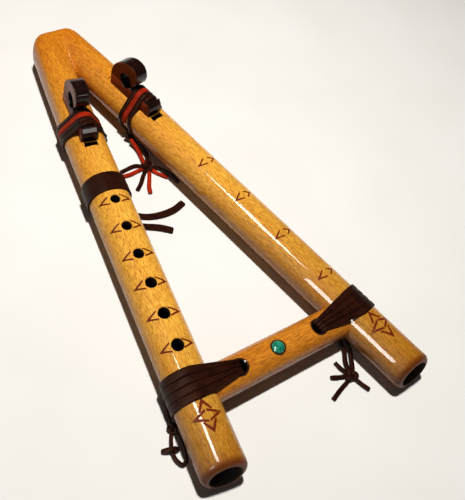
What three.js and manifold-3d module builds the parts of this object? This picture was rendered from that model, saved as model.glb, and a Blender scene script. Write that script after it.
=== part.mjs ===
// Double flute: a melody barrel and a drone barrel joined in a V at the mouth end, with a tied
// block on each, a lashed crossbar between the feet, and leather laces. Millimetres, +Z up.
// +Y runs towards the mouth, the melody barrel lies on the -X side, and the part lies on z = 0.
import * as THREE from 'three';
import { mergeVertices } from 'three/addons/utils/BufferGeometryUtils.js';
import Module from 'manifold-3d';

const wasm = await Module();
wasm.setup();

// Clearances shared by all pieces
const glueGap = 0.2;
const seatGap = 0.3;
const cutOverrun = 2;

// Barrels. A station is a distance towards the foot from the point where the two axes cross.
const barrelDiameter = 34;
const barrelWall = 6;
const spreadDegrees = 10.4;
const melodyFootStation = 465;
const droneFootStation = 481.5;
const footEdgeRadius = 4;
const boreFlare = 1;
// The foot faces are trimmed with a slope, so that the bores open a little upwards, and askew
const melodyFaceSlopeDegrees = 13;
const melodyFaceSkewDegrees = 4;
const droneFaceSlopeDegrees = 15;
const droneFaceSkewDegrees = 10.4;
const footEdgeSteps = 4;
const barrelSides = 36;
const boreSides = 28;

// Mouth end, square to the centre line
const mouthStation = 51;
const headTaper = 6;
const mouthOffset = 1.5;
const headTaperLength = 75;
const mouthCornerReach = 12;
const mouthEdgeRadius = 6;
const mouthArcSteps = 5;
const blowHoleDiameter = 8;
const chamberStart = 72;

// Nest, flue and sound hole, placed from the block's front
const melodyBlockFront = 182;
const droneBlockFront = 177.3;
const nestDepth = 2.1;
const nestRearMargin = 4;
const soundHoleLength = 6;
const soundHoleWidth = 11;
const soundHoleLead = 0.4;
const splittingRampDegrees = 35;
const flueDepth = 0.9;
const flueWidth = 9;
const chamberHoleLength = 7;
const chamberHoleSetback = 26;
const plugLength = 14;
const plugSetback = 2;

// Finger holes on the melody barrel
const fingerHoleCount = 6;
const firstFingerHoleStation = 243.2;
const fingerHoleSpacing = 25.9;
const firstFingerHoleDiameter = 7.8;
const fingerHoleGrowth = 0.38;
const fingerHoleSides = 20;

// Blocks
const blockLength = 52;
const blockWidth = 15;
const hookWidth = 12;
const hookTipSetback = 20.5;
const hookHeight = 33;
const hookEyeDiameter = 13.4;
const hookEyeSetback = 33.5;
const hookEyeHeight = 14.5;
const hookMouthHeight = 2;
const hookBevel = 1.2;
const saddleHeight = 12.4;
const saddleArchRadius = 6.4;
const saddleStart = 4.4;
const saddleEnd = 27.5;
const noseHeight = 5;
const noseTopHeight = 8;
const noseTopSetback = 1.2;
const archSteps = 8;

// Leather laces, flat where they are wound
const laceThickness = 1.6;
const laceDiameter = 3;
const laceGap = 0.5;
const floorCut = 0.2;
const turnSteps = 24;
const laceSides = 8;
const laceStepDiameters = 2.5;
const laceLeastSteps = 4;
const laceRest = 0.1;
const endThickness = 1.8;
const endWidth = 3.2;
const tailWidth = 6.2;

// Block ties: turns of brown lace with one turn of red lace between them, measured from the block's front
const brownLaceWidth = 3.8;
const redLaceWidth = 4.6;
const lastTurnSetback = 8.3;
const crossingDegrees = 45;
// The turns lean towards the mouth as they go down from the saddle; knots lie on the inner sides
const melodyTieSlant = 0.22;
const droneTieSlant = 0.03;
const melodyKnotDegrees = 70;
const droneKnotDegrees = -52;
const redOpeningShare = 2;

// Leather band on the melody barrel
const bandCentreStation = 225.8;
const bandWidth = 17.5;
const bandThickness = 1.3;
const bandSlack = 0.3;
const bandEdgeBevel = 0.5;

// Crossbar with its inlaid stone
const crossbarStation = 403.6;
const crossbarDiameter = 27.2;
const crossbarSkewDegrees = -3.5;
const crossbarSides = 32;
const lashingHoleDiameter = 11.2;
const lashingHoleOffset = 36.5;
const stoneDiameter = 10;
const stoneHeight = 4;
const stoneEdgeHeight = 1.4;
const stonePocketDiameter = 11.6;
const stonePocketDepth = 2.4;
const stoneOffset = -2.5;
const stoneSides = 20;
const domeSteps = 4;

// Crossbar lashings
const lashingTurns = 4;
const lashingWidth = 5.6;
const lashingStrandWidth = 2.25;
const lashingArcSteps = 13;
// Places on the straight stretch from the barrel to the hole
const stretchShares = [0.33, 0.67];
const melodyLashingStation = 402;
const droneLashingStation = 411.5;

// Knots
const tieKnotLength = 9.5;
const tieKnotWidth = 8.5;
const tieKnotHeight = 4.4;
const tieKnotSetback = 10;
const floorKnotRadius = 5.1;
const floorKnotHeight = 5;
const bowKnotRadius = 3.6;
const bowKnotHeight = 4;
const bandKnotRadius = 5.4;
const bandKnotHeight = 4.6;
const knotEdge = 0.6;
const knotSides = 20;
const knotJoinHeight = 2.3;

// Where the loose laces lie. Places are across and along from the point where the axes cross;
// a third value is a height over the floor, and a place without one rests on the floor.
// Each lace leaves its knot at an angle from +X, and a stem comes down to its knot at one.
const droneTieKnotPlace = [13, -201];
const droneTieStems = {
  brown: { places: [[15.1, -170.6, 4.3], [19, -179.5, 2.6], [19.6, -188, 2]], knotDegrees: 58 },
  red: { places: [[12.9, -171.5, 7], [14.6, -179, 3.4], [14, -188, 2]], knotDegrees: 96 },
};
const droneTieEnds = {
  brown_left: { knotDegrees: 144, places: [[4.4, -195.6], [-3, -195.6], [-11, -196.6]] },
  red_left: { knotDegrees: 180, places: [[2, -201.4], [-5, -202], [-12, -201.2]] },
  brown_low: { knotDegrees: 219, places: [[4.4, -208.4], [-1, -214], [-8, -219.5]] },
  red_low: { knotDegrees: 257, places: [[7.8, -213.4], [3.6, -220], [0.6, -227]] },
  red_right: { knotDegrees: 295, places: [[17.6, -210.6], [20.6, -214.6], [23.6, -218.6]] },
  brown_right: { knotDegrees: 333, places: [[22, -207.2], [27, -216], [29.4, -227]] },
};
const bandKnotAcross = 8.4;
const bandTails = {
  upper: { knotDegrees: -20, places: [[-21.8, -241.8], [-13.6, -246.8], [-2, -250], [10, -250.2], [21.6, -247.2]] },
  lower: { knotDegrees: -88, places: [[-33, -247], [-22, -253.6], [-10, -261], [-2, -268]] },
};
const bowKnotPlace = [-92.2, -408.6];
const bowStem = { places: [[-86, -388, 4], [-89.6, -397, 2]], knotDegrees: 84 };
const bowLoop = {
  knotDegrees: 226,
  places: [[-98.2, -416.2], [-101, -422], [-101.6, -428], [-99.6, -433], [-96.4, -432.6],
    [-93.6, -426], [-91.8, -418.6]],
  returnDegrees: 284,
};
// The lace's other end lies across the loop, over its outer side
const bowEnd = [[-96, -422.6], [-98.2, -421.8, 4], [-100.6, -420.8, 5.2], [-103.6, -419.5, 4], [-107, -418]];
const droneLashingKnotPlace = [51, -446];
const droneLashingStems = {
  outer: { places: [[67.9, -415.9, 2.1], [65.2, -427, 2], [60, -436, 2]], knotDegrees: 38 },
  inner: { places: [[62.9, -414.6, 2.2], [59.6, -427.2, 2], [54.4, -435, 2]], knotDegrees: 78 },
};
const droneLashingEnds = {
  back: { knotDegrees: 120, places: [[47.4, -436.8], [46.6, -431]] },
  left: { knotDegrees: 160, places: [[40, -441.6], [35, -439]] },
  low: { knotDegrees: 205, places: [[37, -450.4], [25.4, -453.8]] },
  right: { knotDegrees: 288, places: [[54.6, -457.4], [57, -463]] },
};
const melodyTieEnd = [[-11.6, -164.7, 5.8], [-11.4, -166.2, 4], [-9.8, -169, 2.2]];

const barrelRadius = barrelDiameter / 2;
const boreRadius = barrelRadius - barrelWall;
const hookLength = blockLength - hookTipSetback;
const spread = THREE.MathUtils.degToRad(spreadDegrees);
const lacePitch = (width) => width + laceGap;
const turnStandOff = 1 / Math.cos(Math.PI / turnSteps);
const windingRadius = (barrelRadius + seatGap + laceThickness / 2) * turnStandOff;
const axisHeight = windingRadius + laceThickness / 2 - floorCut;

// Solids and booleans

// Six times the volume inside the triangles, negative when they face inwards
function signedVolume(positions, triVerts) {
  let sum = 0;
  for (let i = 0; i < triVerts.length; i += 3) {
    const [a, b, c] = triVerts.slice(i, i + 3).map((v) => new THREE.Vector3().fromArray(positions, v * 3));
    sum += a.dot(b.cross(c));
  }
  return sum;
}

function manifoldOf(geometry) {
  const bare = geometry.clone();
  bare.deleteAttribute('normal');
  bare.deleteAttribute('uv');
  const merged = mergeVertices(bare);
  const triVerts = [];
  const index = merged.index.array;
  for (let i = 0; i < index.length; i += 3) {
    const corners = [index[i], index[i + 1], index[i + 2]];
    if (new Set(corners).size === 3) {
      triVerts.push(...corners);
    }
  }
  if (signedVolume(merged.attributes.position.array, triVerts) < 0) {
    triVerts.reverse();
  }
  return new wasm.Manifold(new wasm.Mesh({
    numProp: 3,
    vertProperties: new Float32Array(merged.attributes.position.array),
    triVerts: new Uint32Array(triVerts),
  }));
}

function geometryOf(manifold) {
  const mesh = manifold.getMesh();
  const geometry = new THREE.BufferGeometry();
  geometry.setAttribute('position', new THREE.BufferAttribute(new Float32Array(mesh.vertProperties), 3));
  geometry.setIndex(new THREE.BufferAttribute(new Uint32Array(mesh.triVerts), 1));
  geometry.computeVertexNormals();
  return geometry;
}

function joined(...geometries) {
  return geometries.map(manifoldOf).reduce((sum, next) => sum.add(next));
}

function material(color, roughness) {
  return new THREE.MeshStandardMaterial({ color, roughness, metalness: 0 });
}

function named(name, geometry, look) {
  const mesh = new THREE.Mesh(geometry, look);
  mesh.name = name;
  return mesh;
}

const barrelWood = material(0xd08a35, 0.3);
const crossbarWood = material(0xc07a28, 0.35);
const blockWood = material(0x2a0c08, 0.25);
const brownLeather = material(0x22100c, 0.6);
const redLeather = material(0xa81810, 0.6);
const stoneFinish = material(0x2f9c82, 0.3);

// A box between two corners
function boxBetween(low, high) {
  const size = new THREE.Vector3().subVectors(high, low);
  const middle = new THREE.Vector3().addVectors(low, high).multiplyScalar(0.5);
  return new THREE.BoxGeometry(size.x, size.y, size.z).translate(middle.x, middle.y, middle.z);
}

// A rod along the barrel, from one station to another further towards the foot
function rodAlong(radius, fromStation, toStation, sides) {
  const length = toStation - fromStation;
  return new THREE.CylinderGeometry(radius, radius, length, sides).translate(0, -fromStation - length / 2, 0);
}

// A rod standing across the wall of a barrel or of the crossbar
function rodUpright(radius, height, sides) {
  return new THREE.CylinderGeometry(radius, radius, height, sides).rotateX(Math.PI / 2);
}

// Barrels. In a barrel's own frame its axis is the Y axis, and the axes cross at the origin.

function barrelOuter(footStation) {
  const profile = [new THREE.Vector2(0, -footStation)];
  const edge = new THREE.Path();
  const edgeCentre = new THREE.Vector2(barrelRadius - footEdgeRadius, -footStation + footEdgeRadius);
  edge.absarc(edgeCentre.x, edgeCentre.y, footEdgeRadius, -Math.PI / 2, 0, false);
  profile.push(...edge.getPoints(footEdgeSteps));
  profile.push(new THREE.Vector2(barrelRadius, 0));
  profile.push(new THREE.Vector2(0, 0));
  return new THREE.LatheGeometry(profile, barrelSides);
}

// Sets the foot's face on its slope, from a place inside the barrel on
function trimFoot(geometry, barrel, fromStation) {
  const slope = Math.tan(THREE.MathUtils.degToRad(barrel.faceSlopeDegrees));
  const skew = Math.tan(THREE.MathUtils.degToRad(barrel.faceSkewDegrees));
  const position = geometry.attributes.position;
  for (let i = 0; i < position.count; i += 1) {
    if (position.getY(i) < -fromStation) {
      position.setY(i, position.getY(i) + position.getZ(i) * slope - position.getX(i) * skew);
    }
  }
  return geometry;
}

// A cone that widens the bore at the foot
function flareCutter(footStation) {
  const mouthRadius = boreRadius + boreFlare;
  return new THREE.LatheGeometry([
    new THREE.Vector2(0, -footStation - cutOverrun),
    new THREE.Vector2(mouthRadius + cutOverrun, -footStation - cutOverrun),
    new THREE.Vector2(0, mouthRadius - footStation),
  ], boreSides);
}

// The mouth end seen from above: both outer sides draw in towards it and turn round into its square end
function mouthPlanOutline() {
  const sideX = (station) => (station * Math.sin(spread) + barrelRadius) / Math.cos(spread);
  const taperStation = mouthStation + headTaperLength;
  const taperX = sideX(taperStation);
  const rightX = sideX(mouthStation) - headTaper - mouthOffset;
  const leftX = headTaper - sideX(mouthStation) - mouthOffset;
  const rightCornerX = THREE.MathUtils.lerp(rightX, taperX, mouthCornerReach / headTaperLength);
  const leftCornerX = THREE.MathUtils.lerp(leftX, -taperX, mouthCornerReach / headTaperLength);
  const footStation = droneFootStation + barrelDiameter;
  const outline = new THREE.Shape();
  outline.moveTo(-sideX(footStation) - cutOverrun, -footStation);
  outline.lineTo(sideX(footStation) + cutOverrun, -footStation);
  outline.lineTo(taperX + cutOverrun, -taperStation - cutOverrun);
  outline.lineTo(taperX, -taperStation);
  outline.lineTo(rightCornerX, -mouthStation - mouthCornerReach);
  outline.quadraticCurveTo(rightX, -mouthStation, rightX - mouthCornerReach, -mouthStation);
  outline.lineTo(leftX + mouthCornerReach, -mouthStation);
  outline.quadraticCurveTo(leftX, -mouthStation, leftCornerX, -mouthStation - mouthCornerReach);
  outline.lineTo(-taperX, -taperStation);
  outline.lineTo(-taperX - cutOverrun, -taperStation - cutOverrun);
  return outline;
}

// The mouth end seen from the side: the top and bottom edges are rounded over
function mouthSideOutline() {
  const footY = -droneFootStation - barrelDiameter;
  const centreY = -mouthStation - mouthEdgeRadius;
  const centreZ = barrelRadius - mouthEdgeRadius;
  const outline = new THREE.Shape();
  outline.moveTo(footY, barrelRadius);
  outline.lineTo(footY, -barrelRadius);
  outline.absarc(centreY, -centreZ, mouthEdgeRadius, -Math.PI / 2, 0, false);
  outline.absarc(centreY, centreZ, mouthEdgeRadius, 0, Math.PI / 2, false);
  return outline;
}

// What is left of both barrels by the round mouth end and by the mitre, on one side of the centre line
function headEnvelope(side) {
  const planDepth = barrelDiameter + cutOverrun;
  const plan = new THREE.ExtrudeGeometry(mouthPlanOutline(), {
    depth: planDepth, bevelEnabled: false, curveSegments: mouthArcSteps,
  }).translate(0, 0, -planDepth / 2);
  const sideDepth = barrelDiameter * 8;
  const profile = new THREE.ExtrudeGeometry(mouthSideOutline(), {
    depth: sideDepth, bevelEnabled: false, curveSegments: mouthArcSteps,
  }).translate(0, 0, -sideDepth / 2);
  const turned = new THREE.Matrix4().makeBasis(
    new THREE.Vector3(0, 1, 0), new THREE.Vector3(0, 0, 1), new THREE.Vector3(1, 0, 0));
  profile.applyMatrix4(turned);
  const reach = droneFootStation + barrelDiameter;
  const nearX = side * glueGap / 2;
  const farX = side * sideDepth;
  const mitre = boxBetween(
    new THREE.Vector3(Math.min(nearX, farX), -reach, -barrelDiameter),
    new THREE.Vector3(Math.max(nearX, farX), 0, barrelDiameter));
  return manifoldOf(plan).intersect(manifoldOf(profile)).intersect(manifoldOf(mitre));
}

// One barrel before it is split: bore, slow-air chamber, blow hole, nest, flue and sound hole
function barrelBody(barrel) {
  const front = barrel.blockFront;
  const holeStart = front + soundHoleLead;
  const chamberHoleEnd = front - chamberHoleSetback + chamberHoleLength;
  const nestFloor = barrelRadius - nestDepth;
  const nestRear = front - blockLength - nestRearMargin;
  const soundHoleEnd = holeStart + soundHoleLength;

  const envelope = headEnvelope(barrel.side).rotate([0, 0, -barrel.turnDegrees]);
  const footStart = barrel.footStation - barrelRadius;
  const outer = trimFoot(barrelOuter(barrel.footStation), barrel, footStart);
  let body = manifoldOf(outer).intersect(envelope);

  const cuts = [
    rodAlong(boreRadius, chamberStart, barrel.footStation + barrelRadius, boreSides),
    trimFoot(flareCutter(barrel.footStation), barrel, footStart),
    rodAlong(blowHoleDiameter / 2, 0, chamberStart + cutOverrun, boreSides / 2),
    boxBetween(
      new THREE.Vector3(-barrelRadius, -soundHoleEnd, nestFloor),
      new THREE.Vector3(barrelRadius, -nestRear, barrelRadius + cutOverrun)),
    boxBetween(
      new THREE.Vector3(-soundHoleWidth / 2, -soundHoleEnd, 0),
      new THREE.Vector3(soundHoleWidth / 2, -holeStart, barrelRadius)),
    boxBetween(
      new THREE.Vector3(-flueWidth / 2, -holeStart - cutOverrun, nestFloor - flueDepth),
      new THREE.Vector3(flueWidth / 2, -chamberHoleEnd + chamberHoleLength, barrelRadius)),
    boxBetween(
      new THREE.Vector3(-flueWidth / 2, -chamberHoleEnd, 0),
      new THREE.Vector3(flueWidth / 2, -chamberHoleEnd + chamberHoleLength, barrelRadius)),
  ];
  cuts.forEach((cut) => {
    body = body.subtract(manifoldOf(cut));
  });

  const ramp = boxBetween(
    new THREE.Vector3(-soundHoleWidth / 2, -boreRadius, -boreRadius),
    new THREE.Vector3(soundHoleWidth / 2, 0, 0));
  ramp.rotateX(THREE.MathUtils.degToRad(splittingRampDegrees));
  ramp.translate(0, -soundHoleEnd, nestFloor - flueDepth);
  body = body.subtract(manifoldOf(ramp));

  barrel.fingerHoles.forEach((hole) => {
    const drill = rodUpright(hole.diameter / 2, barrelRadius, fingerHoleSides);
    drill.translate(0, -hole.station, barrelRadius);
    body = body.subtract(manifoldOf(drill));
  });
  return body;
}

// The barrel is glued up from an upper and a lower half, hollowed before they are joined
function barrelHalves(barrel) {
  const body = barrelBody(barrel);
  const reach = barrel.footStation + barrelDiameter;
  const halfSpace = (lowZ, highZ) => manifoldOf(boxBetween(
    new THREE.Vector3(-barrelDiameter, -reach, lowZ),
    new THREE.Vector3(barrelDiameter, 0, highZ)));
  return {
    upper: geometryOf(body.intersect(halfSpace(glueGap / 2, barrelDiameter))),
    lower: geometryOf(body.intersect(halfSpace(-barrelDiameter, -glueGap / 2))),
  };
}

function plugGeometry(barrel) {
  const end = barrel.blockFront - plugSetback + soundHoleLead;
  return rodAlong(boreRadius - glueGap, end - plugLength, end, boreSides);
}

// Blocks. The block's front is at y = 0 with its rear on the -Y side, and z = 0 is its flat base.

// Outline points of the hook, as shares of its length from the rear and of its height
const hookShares = [
  [0.06, 0], [0, 0.24], [0.07, 0.576], [0.295, 0.85], [0.61, 1], [0.87, 0.965], [0.99, 0.79],
  [0.965, 0.545], [0.82, 0.4],
];
const hookSteps = 22;

function blockGeometry() {
  const hookRear = -blockLength;
  const outer = new THREE.SplineCurve(hookShares.map(([lengthShare, heightShare]) => new THREE.Vector2(
    hookRear + hookLength * lengthShare, hookHeight * heightShare)));
  const hookOutline = new THREE.Shape(outer.getPoints(hookSteps));
  hookOutline.lineTo(-saddleEnd, saddleHeight - hookMouthHeight);
  hookOutline.lineTo(-saddleEnd, 0);
  const hook = new THREE.ExtrudeGeometry(hookOutline, {
    depth: hookWidth - hookBevel * 2,
    bevelEnabled: true,
    bevelThickness: hookBevel,
    bevelSize: hookBevel,
    bevelOffset: -hookBevel,
    bevelSegments: 2,
  });
  hook.translate(0, 0, hookBevel - hookWidth / 2);

  const noseOutline = new THREE.Shape();
  noseOutline.moveTo(0, 0);
  noseOutline.lineTo(0, noseHeight);
  noseOutline.lineTo(-noseTopSetback, noseTopHeight);
  noseOutline.lineTo(-saddleStart, saddleHeight);
  noseOutline.lineTo(-saddleStart, 0);
  const nose = new THREE.ExtrudeGeometry(noseOutline, { depth: blockWidth, bevelEnabled: false });
  nose.translate(0, 0, -blockWidth / 2);

  const sideways = new THREE.Matrix4().makeBasis(
    new THREE.Vector3(0, 1, 0), new THREE.Vector3(0, 0, 1), new THREE.Vector3(1, 0, 0));
  hook.applyMatrix4(sideways);
  nose.applyMatrix4(sideways);

  // The saddle under the tie has an arched top
  const arch = new THREE.Shape();
  arch.moveTo(-blockWidth / 2, 0);
  arch.lineTo(blockWidth / 2, 0);
  arch.lineTo(blockWidth / 2, saddleHeight - saddleArchRadius - hookMouthHeight);
  arch.absarc(0, saddleHeight - saddleArchRadius, saddleArchRadius, 0, Math.PI, false);
  arch.lineTo(-blockWidth / 2, saddleHeight - saddleArchRadius - hookMouthHeight);
  const saddleLength = blockLength - saddleStart - cutOverrun;
  const saddle = new THREE.ExtrudeGeometry(arch, {
    depth: saddleLength, bevelEnabled: false, curveSegments: archSteps,
  });
  saddle.rotateX(Math.PI / 2);
  saddle.translate(0, -saddleStart, 0);

  const eye = new THREE.CylinderGeometry(
    hookEyeDiameter / 2, hookEyeDiameter / 2, blockWidth + cutOverrun, boreSides);
  eye.rotateZ(Math.PI / 2);
  eye.translate(0, -hookEyeSetback, hookEyeHeight);
  const mouth = boxBetween(
    new THREE.Vector3(-blockWidth, -hookEyeSetback, saddleHeight - hookMouthHeight),
    new THREE.Vector3(blockWidth, -saddleEnd + hookBevel, saddleHeight));
  const block = joined(hook, nose, saddle).subtract(manifoldOf(eye)).subtract(manifoldOf(mouth));
  return geometryOf(block);
}

// Laces

// Section of a flat lace, as shares of half its width and half its thickness
const laceSectionShares = [[1, 0], [0.72, 1], [-0.72, 1], [-1, 0], [-0.72, -1], [0.72, -1]];

// A lace swept through frames; each gives a centre, an outward and a sideways direction, and a width
function laceGeometry(frames) {
  const sides = laceSectionShares.length;
  const positions = [];
  frames.forEach((frame) => {
    laceSectionShares.forEach(([sideShare, outShare]) => {
      const point = frame.centre.clone();
      point.addScaledVector(frame.side, sideShare * frame.width / 2);
      point.addScaledVector(frame.out, outShare * laceThickness / 2);
      positions.push(point.x, point.y, point.z);
    });
  });
  const index = [];
  for (let ring = 0; ring + 1 < frames.length; ring += 1) {
    for (let corner = 0; corner < sides; corner += 1) {
      const next = (corner + 1) % sides;
      const a = ring * sides + corner;
      const b = ring * sides + next;
      index.push(a, a + sides, b, b, a + sides, b + sides);
    }
  }
  const last = (frames.length - 1) * sides;
  for (let corner = 1; corner + 1 < sides; corner += 1) {
    index.push(0, corner, corner + 1, last, last + corner + 1, last + corner);
  }
  const geometry = new THREE.BufferGeometry();
  geometry.setAttribute('position', new THREE.Float32BufferAttribute(positions, 3));
  geometry.setIndex(index);
  return geometry;
}

// The least gap between neighbouring turns, measured on the points of their sections
function printLeastGap(name, geometry, framesPerTurn) {
  const sides = laceSectionShares.length;
  const position = geometry.attributes.position;
  const apart = sides * Math.floor(framesPerTurn / 2);
  const here = new THREE.Vector3();
  const there = new THREE.Vector3();
  let least = Infinity;
  for (let i = 0; i < position.count; i += 1) {
    here.fromBufferAttribute(position, i);
    for (let j = i + apart; j < position.count; j += 1) {
      there.fromBufferAttribute(position, j);
      least = Math.min(least, here.distanceTo(there));
    }
  }
  console.log(`${name}: least gap between turns ${least.toFixed(2)} mm`);
}

// Laces that lie on the floor are cut flat there
function cutAtFloor(geometry) {
  const reach = droneFootStation;
  const floor = boxBetween(
    new THREE.Vector3(-reach, -reach, -axisHeight - barrelDiameter),
    new THREE.Vector3(reach, reach, -axisHeight));
  return geometryOf(manifoldOf(geometry).subtract(manifoldOf(floor)));
}

// One turn of a block tie runs round the barrel and over the saddle, like a belt on two pulleys.
// The angle is measured at the outline's normal, from straight down, towards +X.
const saddlePulley = (saddleArchRadius + seatGap + laceThickness / 2) * turnStandOff;
const saddleCentre = barrelRadius - nestDepth + glueGap + saddleHeight - saddleArchRadius;
const beltLean = Math.asin((windingRadius - saddlePulley) / saddleCentre);
const beltTangents = [Math.PI / 2 + beltLean, Math.PI * 3 / 2 - beltLean];
const crossing = THREE.MathUtils.degToRad(crossingDegrees);

const beltTop = saddleCentre + saddlePulley;

function beltFrame(angle, overSaddle, turn) {
  const out = new THREE.Vector3(Math.sin(angle), 0, -Math.cos(angle));
  const centre = out.clone().multiplyScalar(overSaddle ? saddlePulley : windingRadius);
  if (overSaddle) {
    centre.z += saddleCentre;
  }
  centre.y = (beltTop - centre.z) * turn.slant - turn.station;
  return { centre, out, side: new THREE.Vector3(0, -1, 0), width: turn.width };
}

function arcAngles(fromAngle, toAngle) {
  const steps = Math.max(1, Math.round((toAngle - fromAngle) / (Math.PI * 2 / turnSteps)));
  return Array.from({ length: steps + 1 }, (_, i) => fromAngle + (toAngle - fromAngle) * i / steps);
}

// One turn at its station, from one side of the knot round the saddle to the other
function turnFrames(fromAngle, toAngle, turn) {
  const [up, down] = beltTangents;
  return [
    ...arcAngles(fromAngle, up).map((angle) => beltFrame(angle, false, turn)),
    ...arcAngles(up, down).map((angle) => beltFrame(angle, true, turn)),
    ...arcAngles(down, toAngle).map((angle) => beltFrame(angle, false, turn)),
  ];
}

// An end runs on straight from the last place of its turn
function straightEnd(frame, angle, direction, slant) {
  const along = new THREE.Vector3(Math.cos(angle), -Math.sin(angle) * slant, Math.sin(angle));
  const centre = frame.centre.clone().addScaledVector(along, direction * laceDiameter);
  return { ...frame, centre };
}

// A winding on the belt: each turn keeps its station, and crosses to the next one under the knot
function tieGeometry(turns, knotAngle, opening) {
  const start = knotAngle + opening / 2;
  const end = knotAngle + Math.PI * 2 - opening / 2;
  const frames = [];
  turns.forEach((turn, index) => {
    const next = turns[index + 1];
    if (!next) {
      const stop = end - Math.PI * 2 / turnSteps;
      frames.push(...turnFrames(start, stop, turn));
      frames.push(straightEnd(frames[frames.length - 1], stop, 1, turn.slant));
      return;
    }
    frames.push(...turnFrames(start, end, turn));
    const across = arcAngles(end, end + opening);
    across.slice(1, -1).forEach((angle, place) => {
      const station = THREE.MathUtils.lerp(turn.station, next.station, (place + 1) / (across.length - 1));
      frames.push(beltFrame(angle, false, { ...turn, station }));
    });
  });
  frames.unshift(straightEnd(frames[0], start, -1, turns[0].slant));
  return laceGeometry(frames);
}

// Lashing: each turn goes round the barrel, over to an upright hole in the crossbar, down through it
// and back under the barrel. The hole is given by its place across the barrel and its station.
function lashingGeometry(barrel, hole) {
  const inward = -barrel.side;
  const mouthHeight = crossbarDiameter / 2 + seatGap + laceThickness / 2;
  const tangent = Math.acos(windingRadius / Math.hypot(hole.across, mouthHeight))
    + Math.atan2(mouthHeight, hole.across);
  const normal = new THREE.Vector2(Math.cos(tangent), Math.sin(tangent));
  const touch = normal.clone().multiplyScalar(windingRadius);
  const barrelPitch = lashingWidth + laceGap;
  const holePitch = lashingStrandWidth + laceGap;
  const cornerDrop = laceThickness / 2;
  const frames = [];
  const place = (across, up, station, outAcross, outUp, width) => frames.push({
    centre: new THREE.Vector3(inward * across, -station, up),
    out: new THREE.Vector3(inward * outAcross, 0, outUp).normalize(),
    side: new THREE.Vector3(0, -inward, 0),
    width,
  });
  // On the straight stretch, share 0 is at the barrel and share 1 at the hole's mouth
  const placeOnStretch = (share, level, atBarrel, atHole) => place(
    THREE.MathUtils.lerp(touch.x, hole.across, share),
    level * THREE.MathUtils.lerp(touch.y, mouthHeight, share),
    THREE.MathUtils.lerp(atBarrel, atHole, share),
    normal.x, level * normal.y,
    THREE.MathUtils.lerp(barrelPitch, holePitch, share) - laceGap);

  for (let turn = 0; turn < lashingTurns; turn += 1) {
    const fromMiddle = turn - (lashingTurns - 1) / 2;
    const atBarrel = barrel.lashingStation + fromMiddle * barrelPitch;
    const atHole = hole.station + fromMiddle * holePitch;
    if (turn === 0) {
      placeOnStretch(stretchShares[0], -1, atBarrel, atHole);
    }
    for (let step = 0; step <= lashingArcSteps; step += 1) {
      const angle = -tangent - (Math.PI - tangent) * 2 * step / lashingArcSteps;
      place(windingRadius * Math.cos(angle), windingRadius * Math.sin(angle), atBarrel,
        Math.cos(angle), Math.sin(angle), lashingWidth);
    }
    stretchShares.forEach((share) => placeOnStretch(share, 1, atBarrel, atHole));
    [1, 0, -1].forEach((level) => place(
      hole.across, level * (mouthHeight - cornerDrop), atHole, 1, level, lashingStrandWidth));
    [...stretchShares].reverse().forEach((share, index) => {
      if (turn + 1 < lashingTurns || index === 0) {
        placeOnStretch(share, -1, atBarrel + barrelPitch, atHole);
      }
    });
  }
  return laceGeometry(frames);
}

// A free lace along its route; a flat one lies on the floor with its width level
function laceTube(lace) {
  const curve = new THREE.CatmullRomCurve3(lace.route.map(([x, y, z]) => new THREE.Vector3(x, y, z)));
  const section = new THREE.Shape(Array.from({ length: laceSides }, (_, corner) => {
    const angle = Math.PI * 2 * (corner + 1 / 2) / laceSides;
    return new THREE.Vector2(lace.thickness / 2 * Math.cos(angle), lace.width / 2 * Math.sin(angle));
  }));
  const steps = Math.max(laceLeastSteps, Math.ceil(curve.getLength() / (laceDiameter * laceStepDiameters)));
  console.log(`${lace.name}: length ${curve.getLength().toFixed(1)} mm`);
  return new THREE.ExtrudeGeometry(section, { steps, bevelEnabled: false, extrudePath: curve });
}

// A tightened knot: a flattened lump, longer along the lace
function knotGeometry(length, width, height) {
  return new THREE.IcosahedronGeometry(1, 2).scale(length / 2, width / 2, height / 2);
}

const bandKnotStation = bandCentreStation + bandWidth / 2 + bandKnotRadius / 2;

// A knot that lies on the floor: upright walls below and a round top
function floorKnotGeometry(radius, height) {
  const wall = height / 2;
  const profile = [
    new THREE.Vector2(0, 0), new THREE.Vector2(radius - knotEdge, 0), new THREE.Vector2(radius, knotEdge),
  ];
  for (let step = 0; step <= domeSteps; step += 1) {
    const angle = Math.PI / 2 * step / domeSteps;
    profile.push(new THREE.Vector2(radius * Math.cos(angle), wall + (height - wall) * Math.sin(angle)));
  }
  profile[profile.length - 1].x = 0;
  return new THREE.LatheGeometry(profile, knotSides).rotateX(Math.PI / 2);
}

// The band's knot fills the corner between the band, the barrel's underside and the floor
function bandKnotGeometry() {
  const station = bandKnotStation;
  const knot = floorKnotGeometry(bandKnotRadius, bandKnotHeight);
  knot.translate(bandKnotAcross, -station, laceRest - axisHeight);
  const standOff = 1 / Math.cos(Math.PI / barrelSides);
  const barrel = rodAlong((barrelRadius + seatGap) * standOff, station - barrelDiameter,
    station + barrelDiameter, barrelSides);
  const bandRadius = (barrelRadius + bandSlack) * standOff + bandThickness;
  const band = rodAlong((bandRadius + seatGap) * standOff, bandCentreStation - bandWidth,
    bandCentreStation + bandWidth / 2 + seatGap, barrelSides);
  return geometryOf(manifoldOf(knot).subtract(manifoldOf(barrel)).subtract(manifoldOf(band)));
}

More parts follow.
